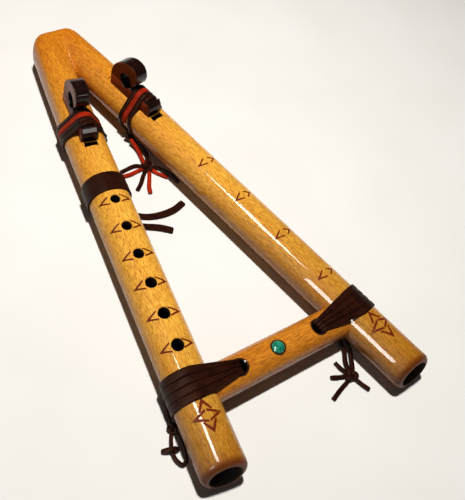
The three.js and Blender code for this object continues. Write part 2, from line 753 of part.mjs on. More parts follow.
// Leather band: one wide strap round the barrel
function bandGeometry() {
  const standOff = 1 / Math.cos(Math.PI / barrelSides);
  const inner = (barrelRadius + bandSlack) * standOff;
  const outer = inner + bandThickness;
  const half = bandWidth / 2;
  const profile = [
    new THREE.Vector2(inner, -half),
    new THREE.Vector2(outer - bandEdgeBevel, -half),
    new THREE.Vector2(outer, -half + bandEdgeBevel),
    new THREE.Vector2(outer, half - bandEdgeBevel),
    new THREE.Vector2(outer - bandEdgeBevel, half),
    new THREE.Vector2(inner, half),
    new THREE.Vector2(inner, -half),
  ];
  return new THREE.LatheGeometry(profile, barrelSides);
}

// Crossbar, in the frame of the whole flute
const crossbarSkew = THREE.MathUtils.degToRad(crossbarSkewDegrees);

function onCrossbar(offset) {
  return new THREE.Vector3(
    offset * Math.cos(crossbarSkew), -crossbarStation + offset * Math.sin(crossbarSkew), 0);
}

function crossbarGeometry(barrels) {
  const radius = crossbarDiameter / 2;
  const reach = droneFootStation * Math.tan(spread) * 2;
  const rod = new THREE.CylinderGeometry(radius, radius, reach, crossbarSides);
  rod.rotateZ(Math.PI / 2 + crossbarSkew);
  rod.translate(0, -crossbarStation, 0);
  let bar = manifoldOf(rod);
  barrels.forEach((barrel) => {
    const cope = rodAlong((barrelRadius + seatGap) / Math.cos(Math.PI / barrelSides), 0,
      droneFootStation, barrelSides);
    cope.rotateZ(barrel.turn);
    bar = bar.subtract(manifoldOf(cope));
    const hole = rodUpright(lashingHoleDiameter / 2, crossbarDiameter + cutOverrun, boreSides);
    const place = onCrossbar(barrel.side * lashingHoleOffset);
    hole.translate(place.x, place.y, place.z);
    bar = bar.subtract(manifoldOf(hole));
  });
  const pocket = rodUpright(stonePocketDiameter / 2, stonePocketDepth * 2, stoneSides);
  const seat = onCrossbar(stoneOffset);
  pocket.translate(seat.x, seat.y, radius);
  bar = bar.subtract(manifoldOf(pocket));
  // The copes leave the middle of the bar and two stubs outside the barrels
  const pieces = bar.decompose();
  pieces.sort((a, b) => b.volume() - a.volume());
  return geometryOf(pieces[0]);
}

// Domed stone, its flat back in the pocket
function stoneGeometry() {
  const radius = stoneDiameter / 2;
  const rise = stoneHeight - stoneEdgeHeight;
  const profile = [new THREE.Vector2(0, 0), new THREE.Vector2(radius, 0)];
  for (let step = 0; step <= domeSteps; step += 1) {
    const angle = Math.PI / 2 * step / domeSteps;
    profile.push(new THREE.Vector2(radius * Math.cos(angle), stoneEdgeHeight + rise * Math.sin(angle)));
  }
  profile[profile.length - 1].x = 0;
  return new THREE.LatheGeometry(profile, stoneSides).rotateX(Math.PI / 2);
}

// The two barrels
const fingerHoles = Array.from({ length: fingerHoleCount }, (_, i) => ({
  station: firstFingerHoleStation + fingerHoleSpacing * i,
  diameter: firstFingerHoleDiameter + fingerHoleGrowth * i,
}));
const melody = {
  name: 'melody',
  side: -1,
  turn: -spread,
  turnDegrees: -spreadDegrees,
  footStation: melodyFootStation,
  faceSlopeDegrees: melodyFaceSlopeDegrees,
  faceSkewDegrees: melodyFaceSkewDegrees,
  blockFront: melodyBlockFront,
  lashingStation: melodyLashingStation,
  tieSlant: melodyTieSlant,
  knotDegrees: melodyKnotDegrees,
  fingerHoles,
};
const drone = {
  name: 'drone',
  side: 1,
  turn: spread,
  turnDegrees: spreadDegrees,
  footStation: droneFootStation,
  faceSlopeDegrees: droneFaceSlopeDegrees,
  faceSkewDegrees: droneFaceSkewDegrees,
  blockFront: droneBlockFront,
  lashingStation: droneLashingStation,
  tieSlant: droneTieSlant,
  knotDegrees: droneKnotDegrees,
  fingerHoles: [],
};
const barrels = [melody, drone];

const flute = new THREE.Group();
const framework = new THREE.Group();
framework.position.z = axisHeight;
flute.add(framework);

barrels.forEach((barrel) => {
  const frame = new THREE.Group();
  frame.rotation.z = barrel.turn;
  framework.add(frame);

  const halves = barrelHalves(barrel);
  frame.add(named(`${barrel.name}_upper_half`, halves.upper, barrelWood));
  frame.add(named(`${barrel.name}_lower_half`, halves.lower, barrelWood));
  frame.add(named(`${barrel.name}_plug`, plugGeometry(barrel), barrelWood));

  const block = named(`${barrel.name}_block`, blockGeometry(), blockWood);
  block.rotation.z = Math.PI;
  block.position.set(0, -barrel.blockFront, barrelRadius - nestDepth + glueGap);
  frame.add(block);

  const knotAngle = THREE.MathUtils.degToRad(barrel.knotDegrees);
  const lastTurn = barrel.blockFront - lastTurnSetback;
  const middleTurn = lastTurn - lacePitch(brownLaceWidth);
  const redTurn = middleTurn - laceGap - (brownLaceWidth + redLaceWidth) / 2;
  const firstTurn = redTurn - laceGap - (brownLaceWidth + redLaceWidth) / 2;
  const turnAt = (station, width) => ({ station, width, slant: barrel.tieSlant });
  const brownTurns = [firstTurn, middleTurn, lastTurn].map((station) => turnAt(station, brownLaceWidth));
  const brown = tieGeometry(brownTurns, knotAngle, crossing);
  const red = tieGeometry([turnAt(redTurn, redLaceWidth)], knotAngle, crossing * redOpeningShare);
  printLeastGap(`${barrel.name}_tie_brown`, brown, turnSteps);
  frame.add(named(`${barrel.name}_tie_brown`, cutAtFloor(brown), brownLeather));
  frame.add(named(`${barrel.name}_tie_red`, cutAtFloor(red), redLeather));

  const tieKnot = named(
    `${barrel.name}_tie_knot`, knotGeometry(tieKnotLength, tieKnotWidth, tieKnotHeight), brownLeather);
  const knotOut = windingRadius + laceThickness / 2 + seatGap + tieKnotHeight / 2;
  const knotUp = -knotOut * Math.cos(knotAngle);
  tieKnot.position.set(knotOut * Math.sin(knotAngle),
    tieKnotSetback - barrel.blockFront + (beltTop - knotUp) * barrel.tieSlant, knotUp);
  tieKnot.rotation.y = -knotAngle;
  frame.add(tieKnot);

  const place = onCrossbar(barrel.side * lashingHoleOffset);
  place.applyAxisAngle(new THREE.Vector3(0, 0, 1), -barrel.turn);
  const lashing = lashingGeometry(barrel, { across: Math.abs(place.x), station: -place.y });
  printLeastGap(`${barrel.name}_lashing`, lashing, turnSteps);
  frame.add(named(`${barrel.name}_lashing`, cutAtFloor(lashing), brownLeather));

  if (barrel === melody) {
    const band = named('melody_band', bandGeometry(), brownLeather);
    band.position.y = -bandCentreStation;
    frame.add(band);
    frame.add(named('melody_band_knot', bandKnotGeometry(), brownLeather));
  }
});

framework.add(named('crossbar', crossbarGeometry(barrels), crossbarWood));
const stone = named('crossbar_stone', stoneGeometry(), stoneFinish);
stone.position.copy(onCrossbar(stoneOffset));
stone.position.z = crossbarDiameter / 2 - stonePocketDepth + seatGap;
framework.add(stone);

// The flute stands centred on its origin, and its loose laces lie beside it
const footprint = new THREE.Box3().setFromObject(flute);
const centre = footprint.getCenter(new THREE.Vector3());
flute.position.set(-centre.x, -centre.y, 0);

// A place on the wall of a knot, where a lace enters or leaves it
function onKnot([x, y], radius, degrees, height) {
  const angle = THREE.MathUtils.degToRad(degrees);
  const reach = radius + laceGap;
  return [x + reach * Math.cos(angle), y + reach * Math.sin(angle), height];
}

const addLace = (name, places, width, thickness, look) => {
  const route = places.map(([x, y, z = thickness / 2 + laceRest]) => [x, y, z]);
  flute.add(named(name, laceTube({ name, route, width, thickness }), look));
};
const addKnot = (name, [x, y], radius, height) => {
  const knot = named(name, floorKnotGeometry(radius, height), brownLeather);
  knot.position.set(x, y, laceRest);
  flute.add(knot);
};
const addStem = (name, stem, place, radius, look) => {
  const end = onKnot(place, radius, stem.knotDegrees, knotJoinHeight);
  addLace(name, [...stem.places, end], laceDiameter, laceDiameter, look);
};
const addEnd = (name, end, place, radius, width, look) => {
  const start = onKnot(place, radius, end.knotDegrees, endThickness / 2 + laceRest);
  addLace(name, [start, ...end.places], width, endThickness, look);
};
const lookOf = (name) => (name.startsWith('red') ? redLeather : brownLeather);

Object.entries(droneTieStems).forEach(([name, stem]) => {
  addStem(`drone_tie_stem_${name}`, stem, droneTieKnotPlace, floorKnotRadius, lookOf(name));
});
addKnot('drone_tie_floor_knot', droneTieKnotPlace, floorKnotRadius, floorKnotHeight);
Object.entries(droneTieEnds).forEach(([name, end]) => {
  addEnd(`drone_tie_end_${name}`, end, droneTieKnotPlace, floorKnotRadius, endWidth, lookOf(name));
});
addLace('melody_tie_end_red', melodyTieEnd, endWidth, endThickness, redLeather);

// The band's tails start at its knot, whose place is given in the melody barrel's frame
const bandKnotPlace = new THREE.Vector3(bandKnotAcross, -bandKnotStation, 0)
  .applyAxisAngle(new THREE.Vector3(0, 0, 1), melody.turn).toArray();
Object.entries(bandTails).forEach(([name, tail]) => {
  addEnd(`melody_band_tail_${name}`, tail, bandKnotPlace, bandKnotRadius, tailWidth, brownLeather);
});

addStem('melody_lashing_stem', bowStem, bowKnotPlace, bowKnotRadius, brownLeather);
addKnot('melody_lashing_knot', bowKnotPlace, bowKnotRadius, bowKnotHeight);
const bowHeight = laceDiameter / 2 + laceRest;
addLace('melody_lashing_bow', [
  onKnot(bowKnotPlace, bowKnotRadius, bowLoop.knotDegrees, bowHeight),
  ...bowLoop.places,
  onKnot(bowKnotPlace, bowKnotRadius, bowLoop.returnDegrees, bowHeight),
], laceDiameter, laceDiameter, brownLeather);
addLace('melody_lashing_end', bowEnd, endWidth, endThickness, brownLeather);
Object.entries(droneLashingStems).forEach(([name, stem]) => {
  addStem(`drone_lashing_stem_${name}`, stem, droneLashingKnotPlace, floorKnotRadius, brownLeather);
});
addKnot('drone_lashing_floor_knot', droneLashingKnotPlace, floorKnotRadius, floorKnotHeight);
Object.entries(droneLashingEnds).forEach(([name, end]) => {
  addEnd(`drone_lashing_end_${name}`, end, droneLashingKnotPlace, floorKnotRadius, endWidth, brownLeather);
});

export default flute;
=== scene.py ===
"""Looks of the double flute: fine wood, leather, laces, burned ornament, light and camera.

Lengths are in millimetres until a piece is made, and in metres from there on.
"""

from math import acos, asin, atan2, cos, hypot, pi, radians, sin, tan

import bmesh
import bpy
import numpy as np
from mathutils import Matrix, Vector


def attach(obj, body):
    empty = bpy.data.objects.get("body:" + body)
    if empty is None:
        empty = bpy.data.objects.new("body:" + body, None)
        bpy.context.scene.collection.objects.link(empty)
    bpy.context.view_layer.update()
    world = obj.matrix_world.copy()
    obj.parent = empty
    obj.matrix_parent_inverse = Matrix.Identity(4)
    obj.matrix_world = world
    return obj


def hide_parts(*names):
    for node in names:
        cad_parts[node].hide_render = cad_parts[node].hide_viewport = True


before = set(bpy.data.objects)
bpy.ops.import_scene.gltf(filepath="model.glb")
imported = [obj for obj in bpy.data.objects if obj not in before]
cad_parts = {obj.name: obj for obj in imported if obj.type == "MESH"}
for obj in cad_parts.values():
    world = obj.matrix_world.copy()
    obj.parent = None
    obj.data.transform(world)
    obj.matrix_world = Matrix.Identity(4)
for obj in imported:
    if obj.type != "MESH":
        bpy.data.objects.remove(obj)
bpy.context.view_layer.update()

MM = 0.001
# The point where the barrels' axes cross, in the row frame
CROSS = np.array([-1.593855, 263.637012, 18.856184])
SPREAD = radians(10.4)

# Camera, where the photograph was taken from
camera_data = bpy.data.cameras.new("camera")
camera_data.sensor_width = 36
camera_data.lens = 46.8
camera_data.clip_start = 0.01
camera = bpy.data.objects.new("camera", camera_data)
bpy.context.scene.collection.objects.link(camera)
camera.matrix_world = Matrix((
    (0.79451, 0.38636, -0.46848, -0.225194),
    (-0.56215, 0.75972, -0.32682, -0.222163),
    (0.22965, 0.52302, 0.82080, 0.450156),
    (0, 0, 0, 1)))
bpy.context.scene.camera = camera


# Materials

class Nodes:
    """A material's node tree, with short calls to add and join nodes."""

    def __init__(self, name, slot=None):
        self.slot = slot or name
        self.material = bpy.data.materials.new(name)
        self.material.use_nodes = True
        self.tree = self.material.node_tree
        self.shader = self.tree.nodes["Principled BSDF"]
        self.place = self.add("ShaderNodeTexCoord").outputs["Object"]

    def add(self, kind, **values):
        node = self.tree.nodes.new(kind)
        for key, value in values.items():
            if hasattr(node, key):
                setattr(node, key, value)
            else:
                self.put(node, key.replace("_", " "), value)
        return node

    def put(self, node, socket, value):
        target = node.inputs[socket]
        if isinstance(value, bpy.types.NodeSocket):
            self.tree.links.new(value, target)
        else:
            target.default_value = value

    def set(self, **values):
        for key, value in values.items():
            self.put(self.shader, key.replace("_", " "), value)

    def noise(self, scale, detail=3, rough=0.55, warp=0.0):
        """Noise with one scale, or one for each of the piece's axes."""
        scales = scale if isinstance(scale, tuple) else (scale,) * 3
        stretched = self.add("ShaderNodeMapping", Vector=self.place, Scale=scales)
        node = self.add("ShaderNodeTexNoise", Vector=stretched.outputs["Vector"], Scale=1, Detail=detail,
                        Roughness=rough, Distortion=warp)
        return node.outputs["Fac"]

    def ramp(self, value, *stops):
        node = self.add("ShaderNodeValToRGB", Fac=value)
        while len(node.color_ramp.elements) < len(stops):
            node.color_ramp.elements.new(0.5)
        for element, (position, color) in zip(node.color_ramp.elements, stops):
            element.position = position
            element.color = (*color, 1) if isinstance(color, tuple) else (color, color, color, 1)
        return node.outputs["Color"]

    def mix(self, share, first, second, blend="MIX"):
        node = self.add("ShaderNodeMix", data_type="RGBA", blend_type=blend)
        for identifier, value in (("Factor_Float", share), ("A_Color", first), ("B_Color", second)):
            index = next(i for i, socket in enumerate(node.inputs) if socket.identifier == identifier)
            self.put(node, index, (*value, 1) if isinstance(value, tuple) else value)
        return next(socket for socket in node.outputs if socket.identifier == "Result_Color")

    def math(self, operation, *values):
        node = self.add("ShaderNodeMath", operation=operation)
        for index, value in enumerate(values):
            self.put(node, index, value)
        return node.outputs[0]

    def vector_math(self, operation, output, first, second=(0, 0, 0)):
        node = self.add("ShaderNodeVectorMath", operation=operation)
        self.put(node, 0, first)
        self.put(node, 1, second)
        return node.outputs[output]

    def bump(self, height, strength, distance):
        node = self.add("ShaderNodeBump", Height=height, Strength=strength, Distance=distance)
        self.put(self.shader, "Normal", node.outputs["Normal"])

    def between(self, value, low, high):
        """From 0 where a value is low to 1 where it is high, and no further."""
        share = self.math("MULTIPLY_ADD", value, 1 / (high - low), -low / (high - low))
        share.node.use_clamp = True
        return share

    def along(self, low, high):
        """From 0 at one place along the piece's own Y axis to 1 at the other."""
        split = self.add("ShaderNodeSeparateXYZ", Vector=self.place)
        return self.between(split.outputs["Y"], low, high)

    def off_axis(self, low, high):
        """From 0 at one distance from the piece's own Y axis to 1 at another."""
        flat = self.vector_math("MULTIPLY", "Vector", self.place, (1, 0, 1))
        return self.between(self.vector_math("LENGTH", "Value", flat), low, high)


PORE_SHADE = 0.55


def wood(name, dark, middle, light, slot=None):
    """Varnished wood with its grain along the piece's own Y axis."""
    n = Nodes(name, slot)
    figure = n.noise((75, 9, 75), warp=0.5)
    fine = n.noise((1600, 140, 1600), detail=4, rough=0.68)
    pores = n.noise((2900, 330, 2900), detail=2, rough=0.6)
    n.color = n.ramp(figure, (0.3, middle), (0.72, light))
    n.color = n.mix(n.ramp(fine, (0.38, 0.72), (0.56, 0.0)), n.color, dark)
    n.color = n.mix(n.ramp(pores, (0.36, 0.65), (0.5, 0.0)), n.color, tuple(PORE_SHADE * c for c in dark))
    n.set(Base_Color=n.color, Roughness=0.5, Coat_Weight=0.55, Coat_Roughness=0.03, Specular_IOR_Level=0.15)
    n.bump(fine, 0.12, 0.0002)
    return n


BARREL_COLORS = (0.46, 0.13, 0.008), (0.92, 0.42, 0.038), (0.98, 0.56, 0.080)
HEAD_TINT = (0.72, 0.46, 0.12)
# Painted shade: a darkening towards the foot, where less light falls, on the foot's rounded rim, and inside
# the bore and holes
FOOT_SHADE = (0.46, 0.37, 0.22)
RIM_SHADE = (0.13, 0.024, 0.003)
INSIDE_SHADE = (0.030, 0.010, 0.003)
# Where a barrel's look changes, in metres: along it, off its axis, or from its foot's face
HEAD_FADE = (-0.25, -0.04)
BLOW_HOLE_END = (-0.0705, -0.0665)
BORE_WALL = (0.0118, 0.0128)
HOLE_WALL = (0.0154, 0.0162)
FOOT_RING = (0.016, 0.012)
RIM_DEPTH = 0.012
HOLE_EDGE = 0.0002


def barrel_wood(name):
    """Deeper orange at the mouth, with painted shade darkening it towards the foot and on the foot's rim, and
    a dull inside painted dark as shade.
    """
    barrel = BARRELS[name]
    n = wood(f"{name}_wood", *BARREL_COLORS, slot="barrel_wood")
    foot_y = -barrel["foot"] * MM
    color = n.mix(n.along(*HEAD_FADE), n.color, HEAD_TINT, "MULTIPLY")
    # Painted shade: darker and a little browner towards the foot, standing in for light that falls off there
    color = n.mix(n.along(foot_y + barrel["foot_shade_reach"], foot_y), color, FOOT_SHADE, "MULTIPLY")
    # The rim follows the slope of the foot's face
    lean = (tan(radians(barrel["skew"])), 1, -tan(radians(barrel["slope"])))
    from_face = n.between(n.vector_math("DOT_PRODUCT", "Value", n.place, lean), foot_y, foot_y + RIM_DEPTH)
    # Painted shade on the foot's rounded rim, which turns down away from the light
    rim = n.ramp(from_face, (0.0, 0.7), (0.12, 0.95), (0.28, 0.7), (0.5, 0.2), (1.0, 0.0))
    color = n.mix(rim, color, RIM_SHADE)
    # Painted shade in the bore, but the mouth face round the blow hole is wood like the rest
    outside = n.math("MAXIMUM", n.off_axis(*BORE_WALL), n.along(*BLOW_HOLE_END))
    # The walls of the sound hole and finger holes get painted shade too, but not the nest or the ring round
    # the bore
    hole_y = -(barrel["front"] + 0.2) * MM
    nest, ring = n.along(hole_y - HOLE_EDGE, hole_y), n.along(*(foot_y + place for place in FOOT_RING))
    walls = n.math("MAXIMUM", n.off_axis(*HOLE_WALL), n.math("MAXIMUM", nest, ring))
    outside = n.math("MINIMUM", outside, walls)
    color = n.mix(outside, INSIDE_SHADE, color)
    coat = n.ramp(from_face, (0.0, 0.12), (1.0, 0.55))
    n.set(Base_Color=color, Coat_Weight=n.math("MULTIPLY", outside, coat),
          Roughness=n.ramp(outside, (0.0, 1.0), (1.0, 0.5)))
    return n


def leather(name, dark, light, rough):
    n = Nodes(name)
    grain = n.noise(2400)
    patches = n.noise(160)
    color = n.ramp(patches, (0.35, dark), (0.7, light))
    color = n.mix(n.ramp(grain, (0.35, 0.0), (0.7, 0.6)), color, light)
    n.set(Base_Color=color, Roughness=n.ramp(patches, (0.3, rough), (0.7, rough + 0.15)),
          Specular_IOR_Level=0.16, Specular_Tint=(1.0, 0.62, 0.45, 1))
    n.bump(grain, 0.35, 0.0003)
    return n


def block_wood():
    n = Nodes("block_wood")
    streaks = n.noise((420, 26, 60), detail=4, rough=0.6, warp=0.4)
    color = n.ramp(streaks, (0.36, (0.004, 0.001, 0.001)), (0.56, (0.012, 0.003, 0.002)),
                   (0.78, (0.06, 0.010, 0.005)))
    # Faces that look sideways along X, the hook's flat sides, are painted redder and lighter than its rim
    facing = n.add("ShaderNodeSeparateXYZ", Vector=n.tree.nodes["Texture Coordinate"].outputs["Normal"])
    sideways = n.math("ABSOLUTE", facing.outputs["X"])
    side = n.ramp(sideways, (0.7, 0.0), (0.95, 0.9))
    color = n.mix(side, color, n.ramp(streaks, (0.3, (0.11, 0.013, 0.003)), (0.7, (0.30, 0.040, 0.008))))
    n.set(Base_Color=color, Roughness=0.35, Coat_Weight=n.ramp(sideways, (0.7, 0.5), (0.95, 0.06)),
          Coat_Roughness=0.05, Specular_IOR_Level=0.15)
    n.bump(streaks, 0.06, 0.0002)
    return n


def turquoise():
    n = Nodes("turquoise", "stone")
    veins = n.noise(300, detail=5, rough=0.7, warp=1.2)
    spots = n.noise(700, detail=2)
    color = n.ramp(veins, (0.36, (0.002, 0.03, 0.02)), (0.48, (0.004, 0.20, 0.125)),
                   (0.68, (0.03, 0.36, 0.22)))
    color = n.mix(n.ramp(spots, (0.6, 0.0), (0.72, 0.4)), color, (0.16, 0.45, 0.28))
    n.set(Base_Color=color, Roughness=0.25, Coat_Weight=0.8, Coat_Roughness=0.06)
    n.bump(veins, 0.08, 0.0002)
    return n


def burned_mark():
    n = Nodes("burned_mark", "barrel_wood")
    char = n.noise(1800)
    n.set(Base_Color=n.ramp(char, (0.3, (0.085, 0.008, 0.001)), (0.7, (0.19, 0.022, 0.003))),
          Roughness=0.6, Specular_IOR_Level=0.15)
    n.bump(char, 0.2, 0.0001)
    return n


def floor_material():
    """Pale card. Camera and reflections see its full white; what it throws back on the flute is less."""
    n = Nodes("floor")
    mottle = n.noise(9, detail=2)
    white = n.ramp(mottle, (0.3, (0.775, 0.76, 0.735)), (0.7, (0.81, 0.80, 0.78)))
    path = n.add("ShaderNodeLightPath")
    seen = path.outputs["Is Camera Ray"]
    for ray in ("Is Glossy Ray", "Is Transmission Ray"):
        seen = n.math("MAXIMUM", seen, path.outputs[ray])
    n.set(Base_Color=n.mix(seen, (0.30, 0.215, 0.135), white), Roughness=0.9, Specular_IOR_Level=0.1)
    return n


# Places along the crossbar of its two upright holes, one on each side, and of its stone
BAR_HOLE, STONE_PLACE = 36.5, -2.5


def crossbar_wood():
    """Wood with painted shade inside the crossbar's upright holes and stone pocket, and round their rims."""
    n = wood("crossbar_wood", (0.28, 0.075, 0.004), (0.60, 0.195, 0.012), (0.74, 0.28, 0.025))
    split = n.add("ShaderNodeSeparateXYZ", Vector=n.place)
    either_side = n.math("ABSOLUTE", split.outputs["Y"])
    color = n.color
    # Painted shade inside each upright hole and the stone pocket, fading out over a millimetre at about its
    # rim
    for along, middle, radius in ((either_side, BAR_HOLE, 7.1), (split.outputs["Y"], STONE_PLACE, 6.1)):
        joined = n.add("ShaderNodeCombineXYZ", X=split.outputs["X"], Y=n.math("SUBTRACT", along, middle * MM))
        distance = n.vector_math("LENGTH", "Value", joined.outputs["Vector"])
        away = n.between(distance, (radius - 0.5) * MM, (radius + 0.5) * MM)
        color = n.mix(away, (0.018, 0.005, 0.002), color)
    n.set(Base_Color=color)
    return n


CROSSBAR_WOOD = crossbar_wood()
BROWN = leather("brown_leather", (0.007, 0.0016, 0.001), (0.026, 0.0055, 0.0025), 0.42)
RED = leather("red_leather", (0.20, 0.008, 0.002), (0.40, 0.022, 0.004), 0.45)
BLOCK_WOOD = block_wood()
STONE = turquoise()
BURNED = burned_mark()


# Making pieces

def barrel_matrix(side):
    return Matrix.Translation(Vector(CROSS * MM)) @ Matrix.Rotation(side * SPREAD, 4, "Z")


HERE = Matrix.Translation(Vector((CROSS[0] * MM, CROSS[1] * MM, 0)))


def bare(name, points, faces, matrix=Matrix.Identity(4)):
    """A mesh object from points in millimetres, with its faces turned outwards."""
    mesh = bpy.data.meshes.new(name)
    mesh.from_pydata([tuple(v * MM for v in p) for p in points], [], faces)
    work = bmesh.new()
    work.from_mesh(mesh)
    bmesh.ops.recalc_face_normals(work, faces=work.faces)
    work.to_mesh(mesh)
    work.free()
    piece = bpy.data.objects.new(name, mesh)
    bpy.context.scene.collection.objects.link(piece)
    piece.matrix_world = matrix
    return piece


def applied(piece):
    """Carries out the piece's modifiers."""
    graph = bpy.context.evaluated_depsgraph_get()
    mesh = bpy.data.meshes.new_from_object(piece.evaluated_get(graph))
    piece.modifiers.clear()
    old, piece.data = piece.data, mesh
    bpy.data.meshes.remove(old)


def boolean(piece, operation, *others):
    """Joins or cuts a piece with others, which are used up."""
    for other in others:
        modifier = piece.modifiers.new("cut", "BOOLEAN")
        modifier.operation = operation
        modifier.solver = "EXACT"
        modifier.object = other
    applied(piece)
    for other in others:
        bpy.data.objects.remove(other)


def finished(piece, look, nodes, body="flute", smooth=32):
    """Gives a piece its material, its smooth shading and its body, and hides the CAD parts that it stands
    for.
    """
    piece.data.materials.clear()
    piece.data.materials.append(look.material)
    piece.data.shade_smooth()
    piece.data.set_sharp_from_angle(angle=radians(smooth))
    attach(piece, body)
    if nodes:
        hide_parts(*nodes)
    return piece


def grid_faces(rings, around, start=0, closed=False):
    """Faces of rings with the same number of points, joined one to the next; closed, also last to first."""
    faces = []
    for ring in range(rings if closed else rings - 1):
        this, following = start + ring * around, start + (ring + 1) % rings * around
        for i in range(around):
            j = (i + 1) % around
            faces.append((this + i, this + j, following + j, following + i))
    return faces


def tube_faces(rings, around):
    """Faces of rings joined one to the next, and one face at each end."""
    last = (rings - 1) * around
    return [*grid_faces(rings, around), tuple(range(around)), tuple(range(last, last + around))]


def lathe(profile, around=96, axis="Y"):
    """Points and faces of a profile of (radius, height) turned round an axis, closed at both ends on it."""
    points = []
    for radius, height in profile:
        for i in range(around):
            angle = 2 * pi * i / around
            x, z = radius * cos(angle), radius * sin(angle)
            points.append((x, height, z) if axis == "Y" else (x, z, height))
    return points, tube_faces(len(profile), around)


def box(low, high):
    points = [(x, y, z) for x in (low[0], high[0]) for y in (low[1], high[1]) for z in (low[2], high[2])]
    return points, [(0, 1, 3, 2), (4, 6, 7, 5), (0, 4, 5, 1), (2, 3, 7, 6), (0, 2, 6, 4), (1, 5, 7, 3)]


def merged(*shapes):
    points, faces = [], []
    for more_points, more_faces in shapes:
        faces += [tuple(i + len(points) for i in face) for face in more_faces]
        points += list(more_points)
    return points, faces


def moved(shape, y):
    """A shape moved along Y."""
    points, faces = shape
    return [(p[0], p[1] + y, p[2]) for p in points], faces


def arc(centre, radius, start, end, steps):
    """Points of an arc in degrees, in the plane of (radius, height)."""
    return [(centre[0] + radius * cos(radians(start + (end - start) * i / steps)),
             centre[1] + radius * sin(radians(start + (end - start) * i / steps)))
            for i in range(steps + 1)]


def rod(radius, start, end):
    return lathe([(radius, start), (radius, end)], 64)


# Barrels, in a barrel's own frame: its axis is Y, and y is minus the station

RADIUS = 17.0
BORE = 11.0
BORE_START = -72
BLOW_HOLE = 4.0
AROUND = 144
# The mouth end: its outer sides taper, its edges are rounded, and the valley between the barrels is filled
MOUTH = -51.0
MOUTH_OFFSET = 1.5
TAPER_END = -126.0
HEAD_TAPER = 6.0
CORNER_ROUNDING, EDGE_ROUNDING = 10.0, 5.0
VALLEY_WIDEST, VALLEY_NARROWEST, VALLEY_FADE = 11.0, 1.5, 0.24
MITRE_SPARE = 0.6
GLUE_GAP = 0.08
# The head is found along rays from this place, and ring by ring down to its end
CAP_CENTRE, HEAD_END = -80.0, -150.0
FARTHEST, HALVINGS = 60.0, 36
# The foot: its outer edge, the flare of its bore, and how far the slope of its face fades out
FOOT_EDGE = 4.5
FLARE = 2.2
SLOPE_FADE = RADIUS - 5.0
# The nest, with the sound hole at its front and the chamber hole towards its rear
NEST_FLOOR = RADIUS - 2.1
NEST_LENGTH = 54
HOLE_SETBACK, HOLE_LENGTH, HOLE_HALF = 0.4, 6, 5.5
CHAMBER_SETBACK, CHAMBER_LENGTH = 26, 7
FLUE_HALF, FLUE_FLOOR = 4.5, NEST_FLOOR - 0.9
RAMP_ANGLE, RAMP_LENGTH = radians(35), 11
BARRELS = {
    "melody": {"side": -1, "foot": 465.0, "foot_shade_reach": 0.11, "slope": 13.0, "skew": 4.0, "front": 182.0,
               "holes": [(243.2 + 25.9 * i, 7.8 + 0.38 * i) for i in range(6)],
               "lashing": 402.0, "slant": 0.22, "knot": 70.0},
    "drone": {"side": 1, "foot": 481.5, "foot_shade_reach": 0.24, "slope": 15.0, "skew": 10.4, "front": 177.3,
              "holes": [], "lashing": 411.5, "slant": 0.03, "knot": -52.0},
}

BARREL_WOODS = {name: barrel_wood(name) for name in BARRELS}


def rounded(a, b, radius):
    """Where two bodies meet, given the distances to them: their edge is rounded off."""
    u, v = np.maximum(a + radius, 0), np.maximum(b + radius, 0)
    return np.minimum(np.maximum(a, b), -radius) + np.hypot(u, v)


def outer_side(station):
    """How far the barrel's outer side lies from the mitre at a station."""
    return (station * sin(SPREAD) + RADIUS) / cos(SPREAD)


def head_distance(points, side):
    """Distance to the rounded mouth end and the cylinder, negative inside."""
    x, y, z = points[..., 0], points[..., 1], points[..., 2]
    c, s = cos(side * SPREAD), sin(side * SPREAD)
    across, along = (x * c - y * s) * side, x * s + y * c
    near, far = outer_side(-MOUTH) - HEAD_TAPER - side * MOUTH_OFFSET, outer_side(-TAPER_END)
    run = np.array([near - far, MOUTH - TAPER_END])
    run /= np.hypot(*run)
    taper = (across - far) * run[1] - (along - TAPER_END) * run[0]
    own = np.hypot(x, z) - RADIUS
    # The other barrel is this one mirrored in the mitre, and the valley between them is filled near the mouth
    other_x, other_y = -across * side, along
    other = np.hypot(other_x * c + other_y * s, z) - RADIUS
    fill = np.clip(VALLEY_WIDEST + (along - MOUTH) * VALLEY_FADE, VALLEY_NARROWEST, VALLEY_WIDEST)
    overlap = np.maximum(fill - np.abs(own - other), 0) / fill
    pair = np.minimum(own, other) - overlap ** 2 * fill / 4
    body = rounded(pair, rounded(taper, along - MOUTH, CORNER_ROUNDING), EDGE_ROUNDING)
    return np.maximum(body, -across - MITRE_SPARE)


def reach(origins, directions, side):
    """How far each ray runs inside the head."""
    low, high = np.zeros(len(origins)), np.full(len(origins), FARTHEST)
    for _ in range(HALVINGS):
        middle = (low + high) / 2
        inside = head_distance(origins + directions * middle[:, None], side) < 0
        low, high = np.where(inside, middle, low), np.where(inside, high, middle)
    return (low + high) / 2


def trimmed(points, barrel):
    """The foot's face on its slope."""
    points = np.array(points, float)
    start = barrel["foot"] - RADIUS
    share = np.clip((-points[:, 1] - start) / SLOPE_FADE, 0, 1)
    shift = (points[:, 2] * tan(radians(barrel["slope"]))
             - points[:, 0] * tan(radians(barrel["skew"])))
    points[:, 1] += share * shift
    return points


